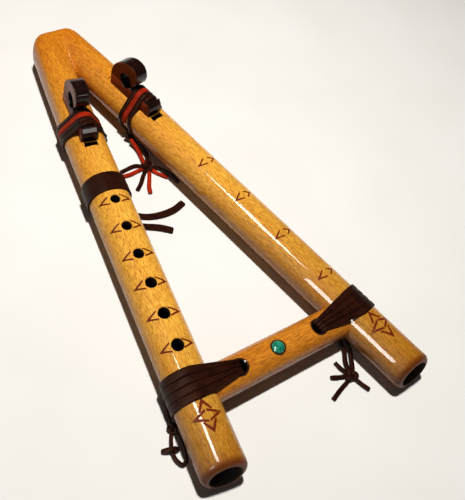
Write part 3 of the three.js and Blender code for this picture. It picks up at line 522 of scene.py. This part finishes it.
def barrel_shape(barrel):
    """Outer surface of a barrel, closed, before the cuts."""
    side, foot = barrel["side"], barrel["foot"]
    angles = np.arange(AROUND) * 2 * pi / AROUND
    ring = np.stack([np.cos(angles), np.zeros(AROUND), np.sin(angles)], 1)
    tip = reach(np.array([[0, CAP_CENTRE, 0.0]]), np.array([[0, 1.0, 0]]), side)[0]
    origin = np.tile([0, CAP_CENTRE, 0.0], (AROUND, 1))
    rings = []
    for polar in np.radians(np.arange(1.5, 90, 1.5)):
        directions = ring * sin(polar) + np.array([0, cos(polar), 0])
        rings.append(origin + directions * reach(origin, directions, side)[:, None])
    for y in np.arange(CAP_CENTRE, HEAD_END, -2.5):
        origin = np.tile([0, y, 0.0], (AROUND, 1))
        rings.append(origin + ring * reach(origin, ring, side)[:, None])
    for y in np.arange(HEAD_END, -foot + FOOT_EDGE, -3.0):
        rings.append(ring * RADIUS + np.array([0, y, 0]))
    edge = arc((RADIUS - FOOT_EDGE, -foot + FOOT_EDGE), FOOT_EDGE, 0, -90, 10)
    for radius, y in [*edge, (9.0, -foot)]:
        rings.append(ring * radius + np.array([0, y, 0]))
    points = np.concatenate([[[0, CAP_CENTRE + tip, 0]], *rings])
    faces = [(0, 1 + i, 1 + (i + 1) % AROUND) for i in range(AROUND)]
    faces += grid_faces(len(rings), AROUND, 1)
    faces.append(tuple(range(len(points) - AROUND, len(points))))
    return trimmed(points, barrel), faces


def drill(diameter, station, top, depth):
    """A hole from above with a softened rim."""
    radius, chamfer = diameter / 2, 0.5
    profile = [(radius, top - depth), (radius, top - chamfer), (radius + chamfer * 0.3, top - chamfer * 0.3),
               (radius + chamfer, top), (radius + chamfer * 4, top + chamfer * 4)]
    return moved(lathe(profile, 64, axis="Z"), -station)


def make_barrel(name):
    """Both halves of a barrel as one piece: its outer surface, cut at the mitre, then its bore and holes."""
    barrel = BARRELS[name]
    side, foot, front = barrel["side"], barrel["foot"], barrel["front"]
    matrix = barrel_matrix(side)
    piece = bare(f"{name}_barrel", *barrel_shape(barrel), matrix)
    glue_line = Matrix.Translation(Vector((
        CROSS[0] * MM + side * GLUE_GAP * MM / 2, CROSS[1] * MM, CROSS[2] * MM)))
    far = -side * 200
    mitre = bare("mitre", *box((min(far, 0), -600, -60), (max(far, 0), 60, 60)), glue_line)

    flare = [(BORE + FLARE - FLARE * cos(t), -foot + FLARE - FLARE * sin(t))
             for t in np.linspace(0.15, pi / 2, 8)]
    profile = [(BORE, BORE_START), *[(BORE, -y) for y in np.arange(80, foot - 20, 6.0)], (BORE, -foot + 4.0),
               *flare, (BORE + 8, -foot - 6), (BORE + 8, -foot - 20)]
    bore_points, bore_faces = lathe(profile, 96)
    bore = bare("bore", trimmed(bore_points, barrel), bore_faces, matrix)

    hole_start = front + HOLE_SETBACK
    hole_end = hole_start + HOLE_LENGTH
    chamber_start = front - CHAMBER_SETBACK
    cuts = [rod(BLOW_HOLE, BORE_START - 2, 5),
            box((-RADIUS, -hole_end, NEST_FLOOR), (RADIUS, -(front - NEST_LENGTH), 25))]
    # The finger holes come out 1 mm up the curved sides, so their rims are softened from just above the crest
    cuts += [drill(diameter, station, RADIUS - 0.25, 14) for station, diameter in barrel["holes"]]
    first = bare("cuts", *merged(*cuts), matrix)
    second = bare("wells", *merged(
        box((-HOLE_HALF, -hole_end, 0), (HOLE_HALF, -hole_start, 18)),
        box((-FLUE_HALF, -chamber_start - CHAMBER_LENGTH, 0), (FLUE_HALF, -chamber_start, 18))), matrix)
    turn = Matrix.Translation((0, -hole_end, FLUE_FLOOR)) @ Matrix.Rotation(RAMP_ANGLE, 4, "X")
    ramp_points, ramp_faces = box((-HOLE_HALF, -RAMP_LENGTH, -RAMP_LENGTH), (HOLE_HALF, 0, 0))
    ramp = [tuple(turn @ Vector(p)) for p in ramp_points], ramp_faces
    third = bare("flue", *merged(box((-FLUE_HALF, -hole_start - 2, FLUE_FLOOR),
                                     (FLUE_HALF, -chamber_start, 18)), ramp), matrix)
    boolean(piece, "DIFFERENCE", mitre, bore, first, second, third)
    finished(piece, BARREL_WOODS[name], [f"{name}_upper_half", f"{name}_lower_half"])


for name in BARRELS:
    make_barrel(name)


# Burned marks: chevrons laid on the barrels. Each is a tip, its two ends and its notch, as (station, left)

def chevron(tip, first, second, notch, end_width=1.4, lift=0.06):
    points, faces = [], []
    tip, first, second, notch = (np.array(v, float) for v in (tip, first, second, notch))
    for end, other in ((first, second), (second, first)):
        inner_end = end + (other - end) / np.hypot(*(other - end)) * end_width
        start = len(points)
        steps = 10
        for t in np.linspace(0, 1, steps + 1):
            outer, inner = tip + (end - tip) * t, notch + (inner_end - notch) * t
            for share, height in ((0, -0.1), (0, lift), (0.5, lift), (1, lift), (1, -0.1)):
                station, left = outer + (inner - outer) * share
                angle = left / RADIUS
                r = RADIUS + height
                points.append((-r * sin(angle), -station, r * cos(angle)))
        corners = [start + i * 5 + j for i in range(steps) for j in range(4)]
        faces += [(a, a + 1, a + 6, a + 5) for a in corners]
        faces += [tuple(start + j for j in range(5)), tuple(start + steps * 5 + 4 - j for j in range(5))]
    return points, faces


def star(station, left, half_length, half_width):
    """Four chevrons round a middle, two along the barrel and two across it."""
    marks = []
    for way in (-1, 1):
        tip, ends, notch = (station + way * half_length * share for share in (1, 0.28, 0.68))
        marks.append(chevron((tip, left), (ends, left + 5.4), (ends, left - 5.4), (notch, left), 1.8))
        marks.append(chevron((station, left + way * half_width), (station - 4.7, left + way * 0.4),
                             (station + 4.7, left + way * 0.4), (station, left + way * 7.2), 1.8))
    return marks


def brackets(stations, rise, *chevrons):
    """Chevrons beside each station, each given by its shift along the barrel and its tip, ends and notch."""
    return [chevron((station + shift, tip), (station + shift - rise, ends), (station + shift + 3.6, ends),
                    (station + shift, notch))
            for station in stations for shift, tip, ends, notch in chevrons]


def make_marks(name, marks):
    piece = bare(f"{name}_burned_marks", *merged(*marks), barrel_matrix(BARRELS[name]["side"]))
    finished(piece, BURNED, [])


eyes = brackets([station for station, _ in BARRELS["melody"]["holes"]], 4.6,
                (0.5, 15.2, 5.2, 11.2), (0.4, -15.0, -4.0, -10.6))
make_marks("melody", eyes + star(426.0, 0.3, 12.7, 12.3))
diamonds = brackets((242.4, 286.3, 332.5, 379.8), 4.0, (-0.6, 9.4, 0.4, 5.9), (0.1, -10.4, -3.0, -7.3))
make_marks("drone", diamonds + star(437.0, -0.8, 14.3, 12.8))


# Crossbar with its stone

BAR_STATION = 403.6
BAR_RADIUS = 13.6
BAR_SKEW = radians(-3.5)
POCKET_FLOOR = BAR_RADIUS - 2.4
# The crossbar's own frame: its axis is Y, so that its grain runs along it
BAR = (Matrix.Translation(Vector(CROSS * MM) + Vector((0, -BAR_STATION * MM, 0)))
       @ Matrix.Rotation(BAR_SKEW - pi / 2, 4, "Z"))


def make_crossbar():
    piece = bare("crossbar_wood", *lathe([(BAR_RADIUS, y) for y in np.arange(-100, 101, 2.0)], 120), BAR)
    for barrel in BARRELS.values():
        matrix = barrel_matrix(barrel["side"])
        cope = bare("cope", *rod(RADIUS + 0.15, -500, -300), matrix)
        low, high = sorted((0, barrel["side"] * 120))
        beyond = bare("beyond", *box((low, -500, -40), (high, -300, 40)), matrix)
        boolean(piece, "DIFFERENCE", cope, beyond)
    upright = [(9.6, -16), (5.6, -12.6), (5.6, 12.6), (9.6, 16)]
    pocket = [(5.8, POCKET_FLOOR), (5.8, BAR_RADIUS - 0.6), (6.1, BAR_RADIUS - 0.1), (9, BAR_RADIUS + 3)]
    holes = [moved(lathe(profile, 64, axis="Z"), y)
             for profile, y in ((upright, -BAR_HOLE), (upright, BAR_HOLE), (pocket, STONE_PLACE))]
    boolean(piece, "DIFFERENCE", bare("holes", *merged(*holes), BAR))
    finished(piece, CROSSBAR_WOOD, ["crossbar"])


def make_stone():
    base = POCKET_FLOOR + 0.3
    dome = [(5.0 * cos(t), base + 1.5 + 2.5 * sin(t)) for t in np.radians(np.arange(6, 90, 7))]
    profile = [(4.6, base), (4.95, base + 0.3), (5.0, base + 1.2), *dome, (0.15, base + 4)]
    piece = bare("crossbar_cabochon", *moved(lathe(profile, 64, axis="Z"), STONE_PLACE), BAR)
    finished(piece, STONE, ["crossbar_stone"])


make_crossbar()
make_stone()


# Blocks. In a block's frame its front is at y = 0, its rear is on the +Y side, and z = 0 is its base.

BLOCK_GAP = 0.2
BLOCK_LENGTH, HOOK_LENGTH, HOOK_HEIGHT, HOOK_HALF = 52, 31.5, 33, 6.0
SADDLE_TOP, SADDLE_ARCH, SADDLE_HALF = 12.4, 6.4, 7.5
EYE_RADIUS, EYE_Y, EYE_Z = 6.7, 33.5, 14.5
# The hook's outline, from its rear over its crown to its tip, in shares of its length and height
HOOK_SHARES = [(0.06, 0), (0, 0.24), (0.07, 0.576), (0.295, 0.85), (0.61, 1), (0.87, 0.965), (0.99, 0.79),
               (0.965, 0.545), (0.82, 0.4)]
HOOK_FRONT = [(27.5, 10.4), (27.5, 0)]
NOSE = [(0, 0), (0, 5), (1.2, 8), (4.4, 12.4), (4.4, 0)]


def prism(outline, start, end, axis):
    """A flat outline drawn out from start to end: one of (y, z) along X, or one of (x, z) along Y."""
    count = len(outline)
    points = [(w, a, b) if axis == "X" else (a, w, b) for w in (start, end) for a, b in outline]
    return points, [tuple(range(count)), tuple(range(count, 2 * count)), *grid_faces(2, count)]


def spline(points, steps):
    """Centripetal Catmull-Rom line through points."""
    def blend(t, a, b, low, high):
        return (high - t) / (high - low) * a + (t - low) / (high - low) * b

    points = [np.array(p, float) for p in points]
    padded = [2 * points[0] - points[1], *points, 2 * points[-1] - points[-2]]
    line = []
    for i in range(1, len(padded) - 2):
        p0, p1, p2, p3 = four = padded[i - 1:i + 3]
        t0, t1, t2, t3 = np.cumsum([0.0, *(np.linalg.norm(b - a) ** 0.5 for a, b in zip(four, four[1:]))])
        for t in np.linspace(t1, t2, steps, endpoint=False):
            a1, a2, a3 = blend(t, p0, p1, t0, t1), blend(t, p1, p2, t1, t2), blend(t, p2, p3, t2, t3)
            line.append(blend(t, blend(t, a1, a2, t0, t2), blend(t, a2, a3, t1, t3), t1, t2))
    line.append(points[-1])
    return np.array(line)


def make_block(name):
    """A block: hook, arched saddle and nose joined, then its edges softened."""
    barrel = BARRELS[name]
    seat = Matrix.Translation(Vector((0, -barrel["front"], NEST_FLOOR + BLOCK_GAP)) * MM)
    matrix = barrel_matrix(barrel["side"]) @ seat
    hook = [(BLOCK_LENGTH - HOOK_LENGTH * a, HOOK_HEIGHT * b) for a, b in spline(HOOK_SHARES, 12)]
    piece = bare(f"{name}_hook_block", *prism(hook + HOOK_FRONT, -HOOK_HALF, HOOK_HALF, "X"), matrix)
    arch = [(7.0 * cos(t), 6.0 + SADDLE_ARCH * sin(t))
            for t in np.linspace(0.05, pi - 0.05, 25)]
    sides = [(-SADDLE_HALF, 0), (SADDLE_HALF, 0), (SADDLE_HALF, 4.0)]
    saddle = bare("saddle", *prism([*sides, *arch, (-SADDLE_HALF, 4.0)], 4.0, 50.0, "Y"), matrix)
    nose = bare("nose", *prism(NOSE, -SADDLE_HALF, SADDLE_HALF, "X"), matrix)
    boolean(piece, "UNION", saddle, nose)
    eye_points, eye_faces = rod(EYE_RADIUS, -10, 10)
    eye = bare("eye", [(p[1], p[0] + EYE_Y, p[2] + EYE_Z) for p in eye_points], eye_faces, matrix)
    mouth = bare("mouth", *box((-15, 26.3, 10.4), (15, EYE_Y, 12.4)), matrix)
    boolean(piece, "DIFFERENCE", eye, mouth)
    remesh = piece.modifiers.new("remesh", "REMESH")
    remesh.mode = "VOXEL"
    remesh.voxel_size = 0.42 * MM
    smooth = piece.modifiers.new("smooth", "SMOOTH")
    smooth.factor, smooth.iterations = 0.6, 9
    thin = piece.modifiers.new("thin", "DECIMATE")
    thin.ratio = 0.45
    applied(piece)
    finished(piece, BLOCK_WOOD, [f"{name}_block"], f"{name}_block", 70)


for name in BARRELS:
    make_block(name)


# Leather: laces swept along a line with an outward and a sideways direction at each place

def section(sides, power, ridges=1):
    """A lace's rounded section; worn lacing shows a few ridges along its width."""
    angles = (np.arange(sides) + 0.5) * 2 * pi / sides
    c, s = np.cos(angles), np.sin(angles)
    across, out = np.sign(c) * np.abs(c) ** (2 / power), np.sign(s) * np.abs(s) ** (2 / power)
    if ridges > 1:
        place = (across + 1) / 2 * ridges % 1 * 2 - 1
        out = out * (0.72 + 0.28 * np.sqrt(1 - place ** 2))
    return across, out


def skin(line, sideways, outs, across, out):
    """Points of a section drawn along a line; across and out hold one row, or one for each place."""
    points = line[:, None] + sideways[:, None] * across[..., None] + outs[:, None] * out[..., None]
    return points.reshape(-1, 3)


def swept(line, outs, sideways, widths, thickness, power=2.7, ridges=1):
    """Points and faces of a soft flat lace; each end draws in a little before its cut face."""
    across, out = section(14 if ridges == 1 else 44, power, ridges)
    shares = np.ones(len(line))
    shares[[0, -1]] = 0.8
    points = skin(line, np.broadcast_to(sideways, line.shape), outs,
                  np.outer(widths / 2 * shares, across), np.outer(thickness / 2 * shares, out))
    return points, tube_faces(len(line), len(across))


def unit(vectors):
    return vectors / np.linalg.norm(vectors, axis=1)[:, None]


def evenly(step, line, *others):
    """A line, and what goes with it, at even steps along it."""
    lengths = np.concatenate([[0], np.cumsum(np.linalg.norm(np.diff(line, axis=0), axis=1))])
    even = np.linspace(0, lengths[-1], int(lengths[-1] / step))
    return [np.stack([np.interp(even, lengths, column) for column in values.T], 1)
            for values in (line, *others)]


LACE = 1.85
WINDING = 17.93
SADDLE_RADIUS = SADDLE_ARCH + 0.95
SADDLE_CENTRE = NEST_FLOOR + BLOCK_GAP + SADDLE_TOP - SADDLE_ARCH
BELT_TOP = SADDLE_CENTRE + SADDLE_RADIUS
LEAN = asin((WINDING - SADDLE_RADIUS) / SADDLE_CENTRE)


def belt(angle, slant):
    """Centre and outward direction on the belt round barrel and saddle; the angle is from straight down."""
    out = np.array([sin(angle), 0, -cos(angle)])
    over = pi / 2 + LEAN <= angle % (2 * pi) <= pi * 3 / 2 - LEAN
    centre = out * (SADDLE_RADIUS if over else WINDING)
    if over:
        centre[2] += SADDLE_CENTRE
    centre[1] = (BELT_TOP - centre[2]) * slant
    return centre, out


def tie_turn(angles, stations, slant):
    """A lace round barrel and saddle that moves along the stations given at the angles."""
    start, stop = angles[0], angles[-1]
    # Places just before and after each change between barrel and saddle
    changes = [edge + nudge + 2 * pi * turn
               for edge in (pi / 2 + LEAN, pi * 3 / 2 - LEAN) for nudge in (-1e-6, 1e-6)
               for turn in (-1, 0, 1)]
    places = np.sort([*np.linspace(start, stop, 150), *(angle for angle in changes if start < angle < stop)])
    centres, outs = (np.array(values) for values in zip(*(belt(angle, slant) for angle in places)))
    centres[:, 1] -= np.interp(places, angles, stations)
    # The straight stretches between barrel and saddle get places of their own
    centres, outs = evenly(0.7, centres, outs)
    return centres, unit(outs)


def make_ties(name):
    """Three brown turns of one lace, which steps to its next turn under the knot, and one red turn."""
    barrel = BARRELS[name]
    knot_angle, opening, turn = radians(barrel["knot"]), radians(45), 2 * pi
    last = barrel["front"] - 8.3
    middle_turn = last - 4.3
    red_turn = middle_turn - 4.7
    first = red_turn - 4.7
    start, end = knot_angle + opening / 2, knot_angle + turn - opening / 2
    changes = [start, end, end + opening, end + turn - opening, end + turn, end + 2 * turn - opening * 1.4]
    brown = tie_turn(changes, [first, first, middle_turn, middle_turn, last, last], barrel["slant"])
    red = tie_turn([start + opening * 0.3, end - opening * 0.3], [red_turn, red_turn], barrel["slant"])
    for color, look, (centres, outs), width in (("brown", BROWN, brown, 4.15), ("red", RED, red, 4.9)):
        shape = swept(centres, outs, (0, -1, 0), width, LACE)
        piece = bare(f"{name}_{color}_tie", *shape, barrel_matrix(barrel["side"]))
        finished(piece, look, [f"{name}_tie_{color}"], smooth=60)


for name in BARRELS:
    make_ties(name)


def smoothed(values, window):
    """Moving mean, with the ends kept."""
    padded = np.concatenate([np.repeat(values[:1], window, 0), values, np.repeat(values[-1:], window, 0)])
    sums = np.cumsum(np.concatenate([np.zeros((1, 3)), padded]), 0)
    width = 2 * window + 1
    return (sums[width:] - sums[:-width]) / width


TURNS = 4
# Width of one strand on the barrel and in the crossbar's hole, and the gap to the next
WIDE, NARROW, STRAND_GAP = 6.1, 2.75, 0.12
# A strand going over to the hole has places at these shares of its way
WAY = (0.2, 0.4, 0.6, 0.8, 0.93)


def make_lashing(name):
    """Four turns round the barrel, over to the upright hole in the crossbar, down through it and back."""
    barrel = BARRELS[name]
    side = barrel["side"]
    hole = Vector((side * BAR_HOLE * cos(BAR_SKEW), -BAR_STATION + side * BAR_HOLE * sin(BAR_SKEW)))
    place = Matrix.Rotation(-side * SPREAD, 2) @ hole
    across, hole_station = abs(place.x), -place.y
    mouth_height = BAR_RADIUS + 0.9
    tangent = acos(WINDING / hypot(across, mouth_height)) + atan2(mouth_height, across)
    normal = np.array([cos(tangent), sin(tangent)])
    touch = normal * WINDING
    centres, outs, widths = [], [], []

    def put(a, up, station, out_a, out_up, width):
        centres.append((-side * a, -station, up))
        outs.append((-side * out_a, 0, out_up))
        widths.append([width])

    def stretch(share, level, at_barrel, at_hole):
        put(touch[0] + (across - touch[0]) * share, level * (touch[1] + (mouth_height - touch[1]) * share),
            at_barrel + (at_hole - at_barrel) * share, normal[0], level * normal[1],
            (WIDE + (NARROW - WIDE) * share) - STRAND_GAP)

    for number in range(TURNS):
        from_middle = number - (TURNS - 1) / 2
        at_barrel = barrel["lashing"] + from_middle * WIDE
        at_hole = hole_station + from_middle * NARROW
        if number == 0:
            stretch(0.33, -1, at_barrel, at_hole)
        for angle in np.linspace(-tangent, tangent - 2 * pi, 60):
            put(WINDING * cos(angle), WINDING * sin(angle), at_barrel,
                cos(angle), sin(angle), WIDE - STRAND_GAP)
        for share in WAY:
            stretch(share, 1, at_barrel, at_hole)
        for level in (1, 0.85, 0, -0.85, -1):
            put(across + 0.6, level * (mouth_height - 1.2), at_hole, 1, level * 0.4, NARROW - 0.1)
        for share in WAY[::-1]:
            if number < TURNS - 1 or share > 0.5:
                stretch(share, -1, at_barrel + WIDE, at_hole)
    centres, outs, widths = evenly(0.6, *(np.array(values, float) for values in (centres, outs, widths)))
    shape = swept(smoothed(centres, 2), unit(smoothed(outs, 3)), (0, side, 0), widths[:, 0], LACE, ridges=3)
    piece = bare(f"{name}_leather_lashing", *shape, barrel_matrix(side))
    finished(piece, BROWN, [f"{name}_lashing"], smooth=60)


for name in BARRELS:
    make_lashing(name)


BAND_STATION, BAND_WIDTH, BAND_INNER, BAND_OUTER = 225.8, 17.5, 17.08, 18.62


def make_band():
    half, edge = BAND_WIDTH / 2, 0.5
    profile = [(BAND_INNER, -half), *arc((BAND_OUTER - edge, -half + edge), edge, -90, 0, 5),
               *arc((BAND_OUTER - edge, half - edge), edge, 0, 90, 5), (BAND_INNER, half)]
    points = []
    for i in range(AROUND):
        angle = 2 * pi * i / AROUND
        ripple = 0.05 * sin(3 * angle + 1) + 0.03 * sin(7 * angle)
        for radius, y in profile:
            r = radius + (ripple if radius > BAND_INNER else 0)
            points.append((r * cos(angle), y - BAND_STATION + 1.5 * ripple, r * sin(angle)))
    faces = grid_faces(AROUND, len(profile), closed=True)
    piece = bare("melody_leather_band", points, faces, barrel_matrix(-1))
    finished(piece, BROWN, ["melody_band"], "band", 60)


make_band()


# Loose laces, in the frame of the axes' crossing, with heights over the floor

FLOOR_GAP = 0.1
KNOT_STEPS = 96


def on_knot(place, radius, degrees, height):
    angle = radians(degrees)
    return (place[0] + radius * cos(angle), place[1] + radius * sin(angle), height)


def level_frames(tangents):
    """Sideways and outward directions of a lace whose width lies level."""
    tangents = unit(tangents)
    sideways = unit(np.cross(tangents, (0, 0, 1)))
    return sideways, np.cross(sideways, tangents)


def lace(name, places, width, thickness, look, nodes, body="flute", power=2.6, with_pieces=None,
         far_end="bare"):
    """A level lace, resting at places without a height."""
    resting = thickness / 2 + FLOOR_GAP
    line = spline([(p[0], p[1], p[2] if len(p) > 2 else resting) for p in places], 14)
    sideways, outs = level_frames(np.gradient(line, axis=0))
    # Leather laces aren't cut evenly
    phase = len(name) + abs(line[0, 0])
    wander = 1 + 0.05 * np.sin(np.linspace(0, 9, len(line)) + phase)
    shape = swept(line, outs, sideways, width * wander, thickness, power)
    piece = finished(bare(name, *shape, HERE), look, nodes, body, 60)
    return piece


def knot(name, place, radius, height, lace_width, nodes, body="flute", turn=0.0, matrix=None):
    """A tightened overhand knot at a place on the floor: a three-lobed loop of lace, pressed flat."""
    t = np.linspace(0, 2 * pi, KNOT_STEPS + 1)[:-1]
    lobe = radius - lace_width / 2
    loop = np.stack([(np.sin(t) + 2 * np.sin(2 * t)) / 3 * lobe, (np.cos(t) - 2 * np.cos(2 * t)) / 3 * lobe,
                     -np.sin(3 * t) * (height - lace_width) / 2], 1)
    sideways, outs = level_frames(np.roll(loop, -1, 0) - np.roll(loop, 1, 0))
    across, out = section(12, 2.4)
    points = skin(loop, sideways, outs, across * lace_width * 0.55, out * lace_width * 0.5)
    if matrix is None:
        matrix = HERE @ Matrix.Translation(Vector((place[0], place[1], height / 2 + FLOOR_GAP)) * MM)
    piece = bare(name, points, grid_faces(KNOT_STEPS, len(across), closed=True),
                 matrix @ Matrix.Rotation(turn, 4, "Z"))
    return finished(piece, BROWN, nodes, body, 60)


# Radius, height and lace width of a knot on the floor; width and thickness of its stems and its cut ends
FLOOR_KNOT = (6.0, 5.4, 3.3)
STEM, CUT_END = (3.7, 2.4), (3.7, 2.2)

# Drone tie: two stems, the knot on the floor and its six ends; each stem goes through into one of them
tie_place = [13, -201]
floor_knot = knot("drone_tie_overhand_knot", tie_place, *FLOOR_KNOT, ["drone_tie_floor_knot"])
short_ends = {
    name: lace(f"drone_tie_lace_{name}", [on_knot(tie_place, 3.0, degrees, 1.4), *places], *CUT_END,
               look, [f"drone_tie_end_{name}"])
    for name, look, degrees, places in (
        ("brown_left", BROWN, 144, [(4.4, -195.6), (-3, -195.6), (-11, -196.6)]),
        ("red_left", RED, 180, [(2, -201.4), (-5, -202), (-12, -201.2)]),
        ("brown_low", BROWN, 219, [(4.4, -208.4), (-1, -214), (-8, -219.5)]),
        ("red_right", RED, 295, [(17.6, -210.6), (20.6, -214.6), (23.6, -218.6)]))}
lace("drone_tie_lace_brown",
     [(15.1, -170.6, 4.3), (19, -179.5, 2.6), (19.6, -188, 2), on_knot(tie_place, 5.6, 58, 2.3),
      (13.4, -201, 2.6), on_knot(tie_place, 5.6, 333, 1.4), (22, -207.2), (27, -216), (29.4, -227)],
     *STEM, BROWN, ["drone_tie_stem_brown", "drone_tie_end_brown_right"],
     with_pieces=[floor_knot, short_ends["brown_left"], short_ends["brown_low"]])
lace("drone_tie_lace_red",
     [(12.9, -171.5, 7), (14.6, -179, 3.4), (14, -188, 2), on_knot(tie_place, 5.6, 96, 2.3),
      (12.4, -201, 2.2), on_knot(tie_place, 5.6, 257, 1.4), (7.8, -213.4), (3.6, -220), (0.6, -227)],
     *STEM, RED, ["drone_tie_stem_red", "drone_tie_end_red_low"],
     with_pieces=[short_ends["red_left"], short_ends["red_right"]])

# Band tails and their knot
band_place = list(Matrix.Rotation(-SPREAD, 2) @ Vector((8.4, -(BAND_STATION + BAND_WIDTH / 2 + 5.4 / 2))))
band_knot = knot("melody_band_overhand_knot", band_place, 5.2, 4.4, 2.6, ["melody_band_knot"], body="band")
for name, degrees, places, others in (
        ("upper", -20, [(-21.8, -241.8), (-13.6, -246.8), (-2, -250), (10, -250.2), (21.6, -247.2)],
         [band_knot]),
        ("lower", -88, [(-33, -247), (-22, -253.6), (-10, -261), (-2, -268)], [])):
    lace(f"melody_band_strap_{name}", [on_knot(band_place, 5.9, degrees, 1.0), *places], 6.2, 1.8, BROWN,
         [f"melody_band_tail_{name}"], body="band", power=4.0, with_pieces=others)

# Melody lashing: the stem runs on through its knot into the bow; the other end lies across the bow
bow_place = [-92.2, -408.6]
bow_knot = knot("melody_lashing_overhand_knot", bow_place, 4.2, 4.4, 2.6, ["melody_lashing_knot"])
bow_end = lace("melody_lashing_lace_end",
               [(-96, -422.6), (-98.2, -421.8, 4), (-100.6, -420.8, 5.2), (-103.6, -419.5, 4), (-107, -418)],
               3.3, 1.9, BROWN, ["melody_lashing_end"])
lace("melody_lashing_lace_bow",
     [(-86, -388, 4), (-89.6, -397, 2), on_knot(bow_place, 4.1, 84, 2.3), (-93, -409, 2.2),
      on_knot(bow_place, 4.1, 226, 1.6), (-98.2, -416.2, 1.6), (-101, -422, 1.6), (-101.6, -428, 1.6),
      (-99.6, -433, 1.6), (-96.4, -432.6, 1.6), (-93.6, -426, 1.6), (-91.8, -418.6, 1.6),
      on_knot(bow_place, 4.1, 284, 1.6)],
     3.0, 2.7, BROWN, ["melody_lashing_stem", "melody_lashing_bow"], power=2.2,
     with_pieces=[bow_knot, bow_end], far_end="knot")

# Drone lashing: two stems go through the knot on the floor into two of its four ends
lashing_place = [51, -446]
lashing_knot = knot("drone_lashing_overhand_knot", lashing_place, *FLOOR_KNOT, ["drone_lashing_floor_knot"],
                    turn=0.6)
lashing_short = [
    lace(f"drone_lashing_lace_{name}", [on_knot(lashing_place, 3.0, degrees, 1.4), *places], *CUT_END,
         BROWN, [f"drone_lashing_end_{name}"])
    for name, degrees, places in (("back", 120, [(47.4, -436.8), (46.6, -431)]),
                                      ("left", 160, [(40, -441.6), (35, -439)]))]
lace("drone_lashing_lace_outer",
     [(67.9, -415.9, 2.1), (65.2, -427, 2), (60, -436, 2), on_knot(lashing_place, 5.6, 38, 2.3),
      (51.4, -446, 2.6), on_knot(lashing_place, 5.6, 205, 1.4), (37, -450.4), (25.4, -453.8)],
     *STEM, BROWN, ["drone_lashing_stem_outer", "drone_lashing_end_low"],
     with_pieces=[lashing_knot, *lashing_short])
lace("drone_lashing_lace_inner",
     [(62.9, -414.6, 2.2), (59.6, -427.2, 2), (54.4, -435, 2), on_knot(lashing_place, 5.6, 78, 2.3),
      (50.8, -446, 2.2), on_knot(lashing_place, 5.6, 288, 1.4), (54.6, -457.4), (57, -463)],
     *STEM, BROWN, ["drone_lashing_stem_inner", "drone_lashing_end_right"], with_pieces=[])

# Melody tie: its short red end. Then the knots of both ties, on the barrels
lace("melody_tie_lace_red", [(-11.6, -164.7, 5.8), (-11.4, -166.2, 4), (-9.8, -169, 2.2)], 3.2, 1.8, RED,
     ["melody_tie_end_red"])
for name, barrel in BARRELS.items():
    knot_angle = radians(barrel["knot"])
    out = WINDING + LACE / 2 + 2.0
    up = -out * cos(knot_angle)
    spot = Vector((out * sin(knot_angle), 10 - barrel["front"] + (BELT_TOP - up) * barrel["slant"], up))
    on_barrel = barrel_matrix(barrel["side"]) @ Matrix.Translation(spot * MM)
    knot(f"{name}_tie_small_knot", None, 4.6, 4.2, 2.4, [f"{name}_tie_knot"], turn=0.5,
         matrix=on_barrel @ Matrix.Rotation(-knot_angle, 4, "Y"))

# The plugs stay as the CAD has them, in the barrels' wood
for name, look in BARREL_WOODS.items():
    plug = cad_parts[f"{name}_plug"]
    plug.data.materials.clear()
    plug.data.materials.append(look.material)


# Floor and light

FLOOR_REACH = 3000
corners = [(x * FLOOR_REACH, y * FLOOR_REACH, 0) for x, y in ((-1, -1), (1, -1), (1, 1), (-1, 1))]
floor = bare("floor", corners, [(0, 1, 2, 3)])
floor.data.materials.append(floor_material().material)


def lamp(name, place, size, power, color, aim, gloss_only):
    """An area lamp at a place, turned towards another. It either shows in reflections or lights the scene."""
    data = bpy.data.lights.new(name, "AREA")
    data.shape = "RECTANGLE"
    data.size, data.size_y = size
    data.energy = power
    data.color = color
    light = bpy.data.objects.new(name, data)
    bpy.context.scene.collection.objects.link(light)
    light.location = Vector(place)
    light.rotation_euler = (Vector(place) - Vector(aim)).to_track_quat("Z", "Y").to_euler()
    light.visible_diffuse = not gloss_only
    light.visible_glossy = gloss_only


lamp("key", (0.0, 0.12, 1.15), (0.06, 0.06), 16.5, (1.0, 0.975, 0.93), (0, -0.02, 0), False)
# Seen in the varnish only: a strip along each barrel's foot, and a low gleam on the blocks' fronts
for name, aim, way, distance, size, power in (
        ("strip_melody", (-0.08, -0.16, 0.035), (-0.315, 0.255, 0.915), 1.5, (0.40, 0.28), 13.3),
        ("strip_drone", (0.06, -0.15, 0.03), (-0.868, -0.12, 0.475), 1.5, (0.36, 0.52), 16.8),
        ("gleam", (-0.03, 0.08, 0.05), (0.08, -0.93, 0.35), 0.9, (0.07, 0.07), 0.12)):
    lamp(name, Vector(aim) + Vector(way) * distance, size, power, (1.0, 0.98, 0.94), aim, True)

world = bpy.data.worlds.new("world")
world.use_nodes = True
background = world.node_tree.nodes["Background"]
background.inputs["Color"].default_value = (1, 0.97, 0.93, 1)
background.inputs["Strength"].default_value = 0.03
bpy.context.scene.world = world
bpy.context.scene.view_settings.view_transform = "Standard"
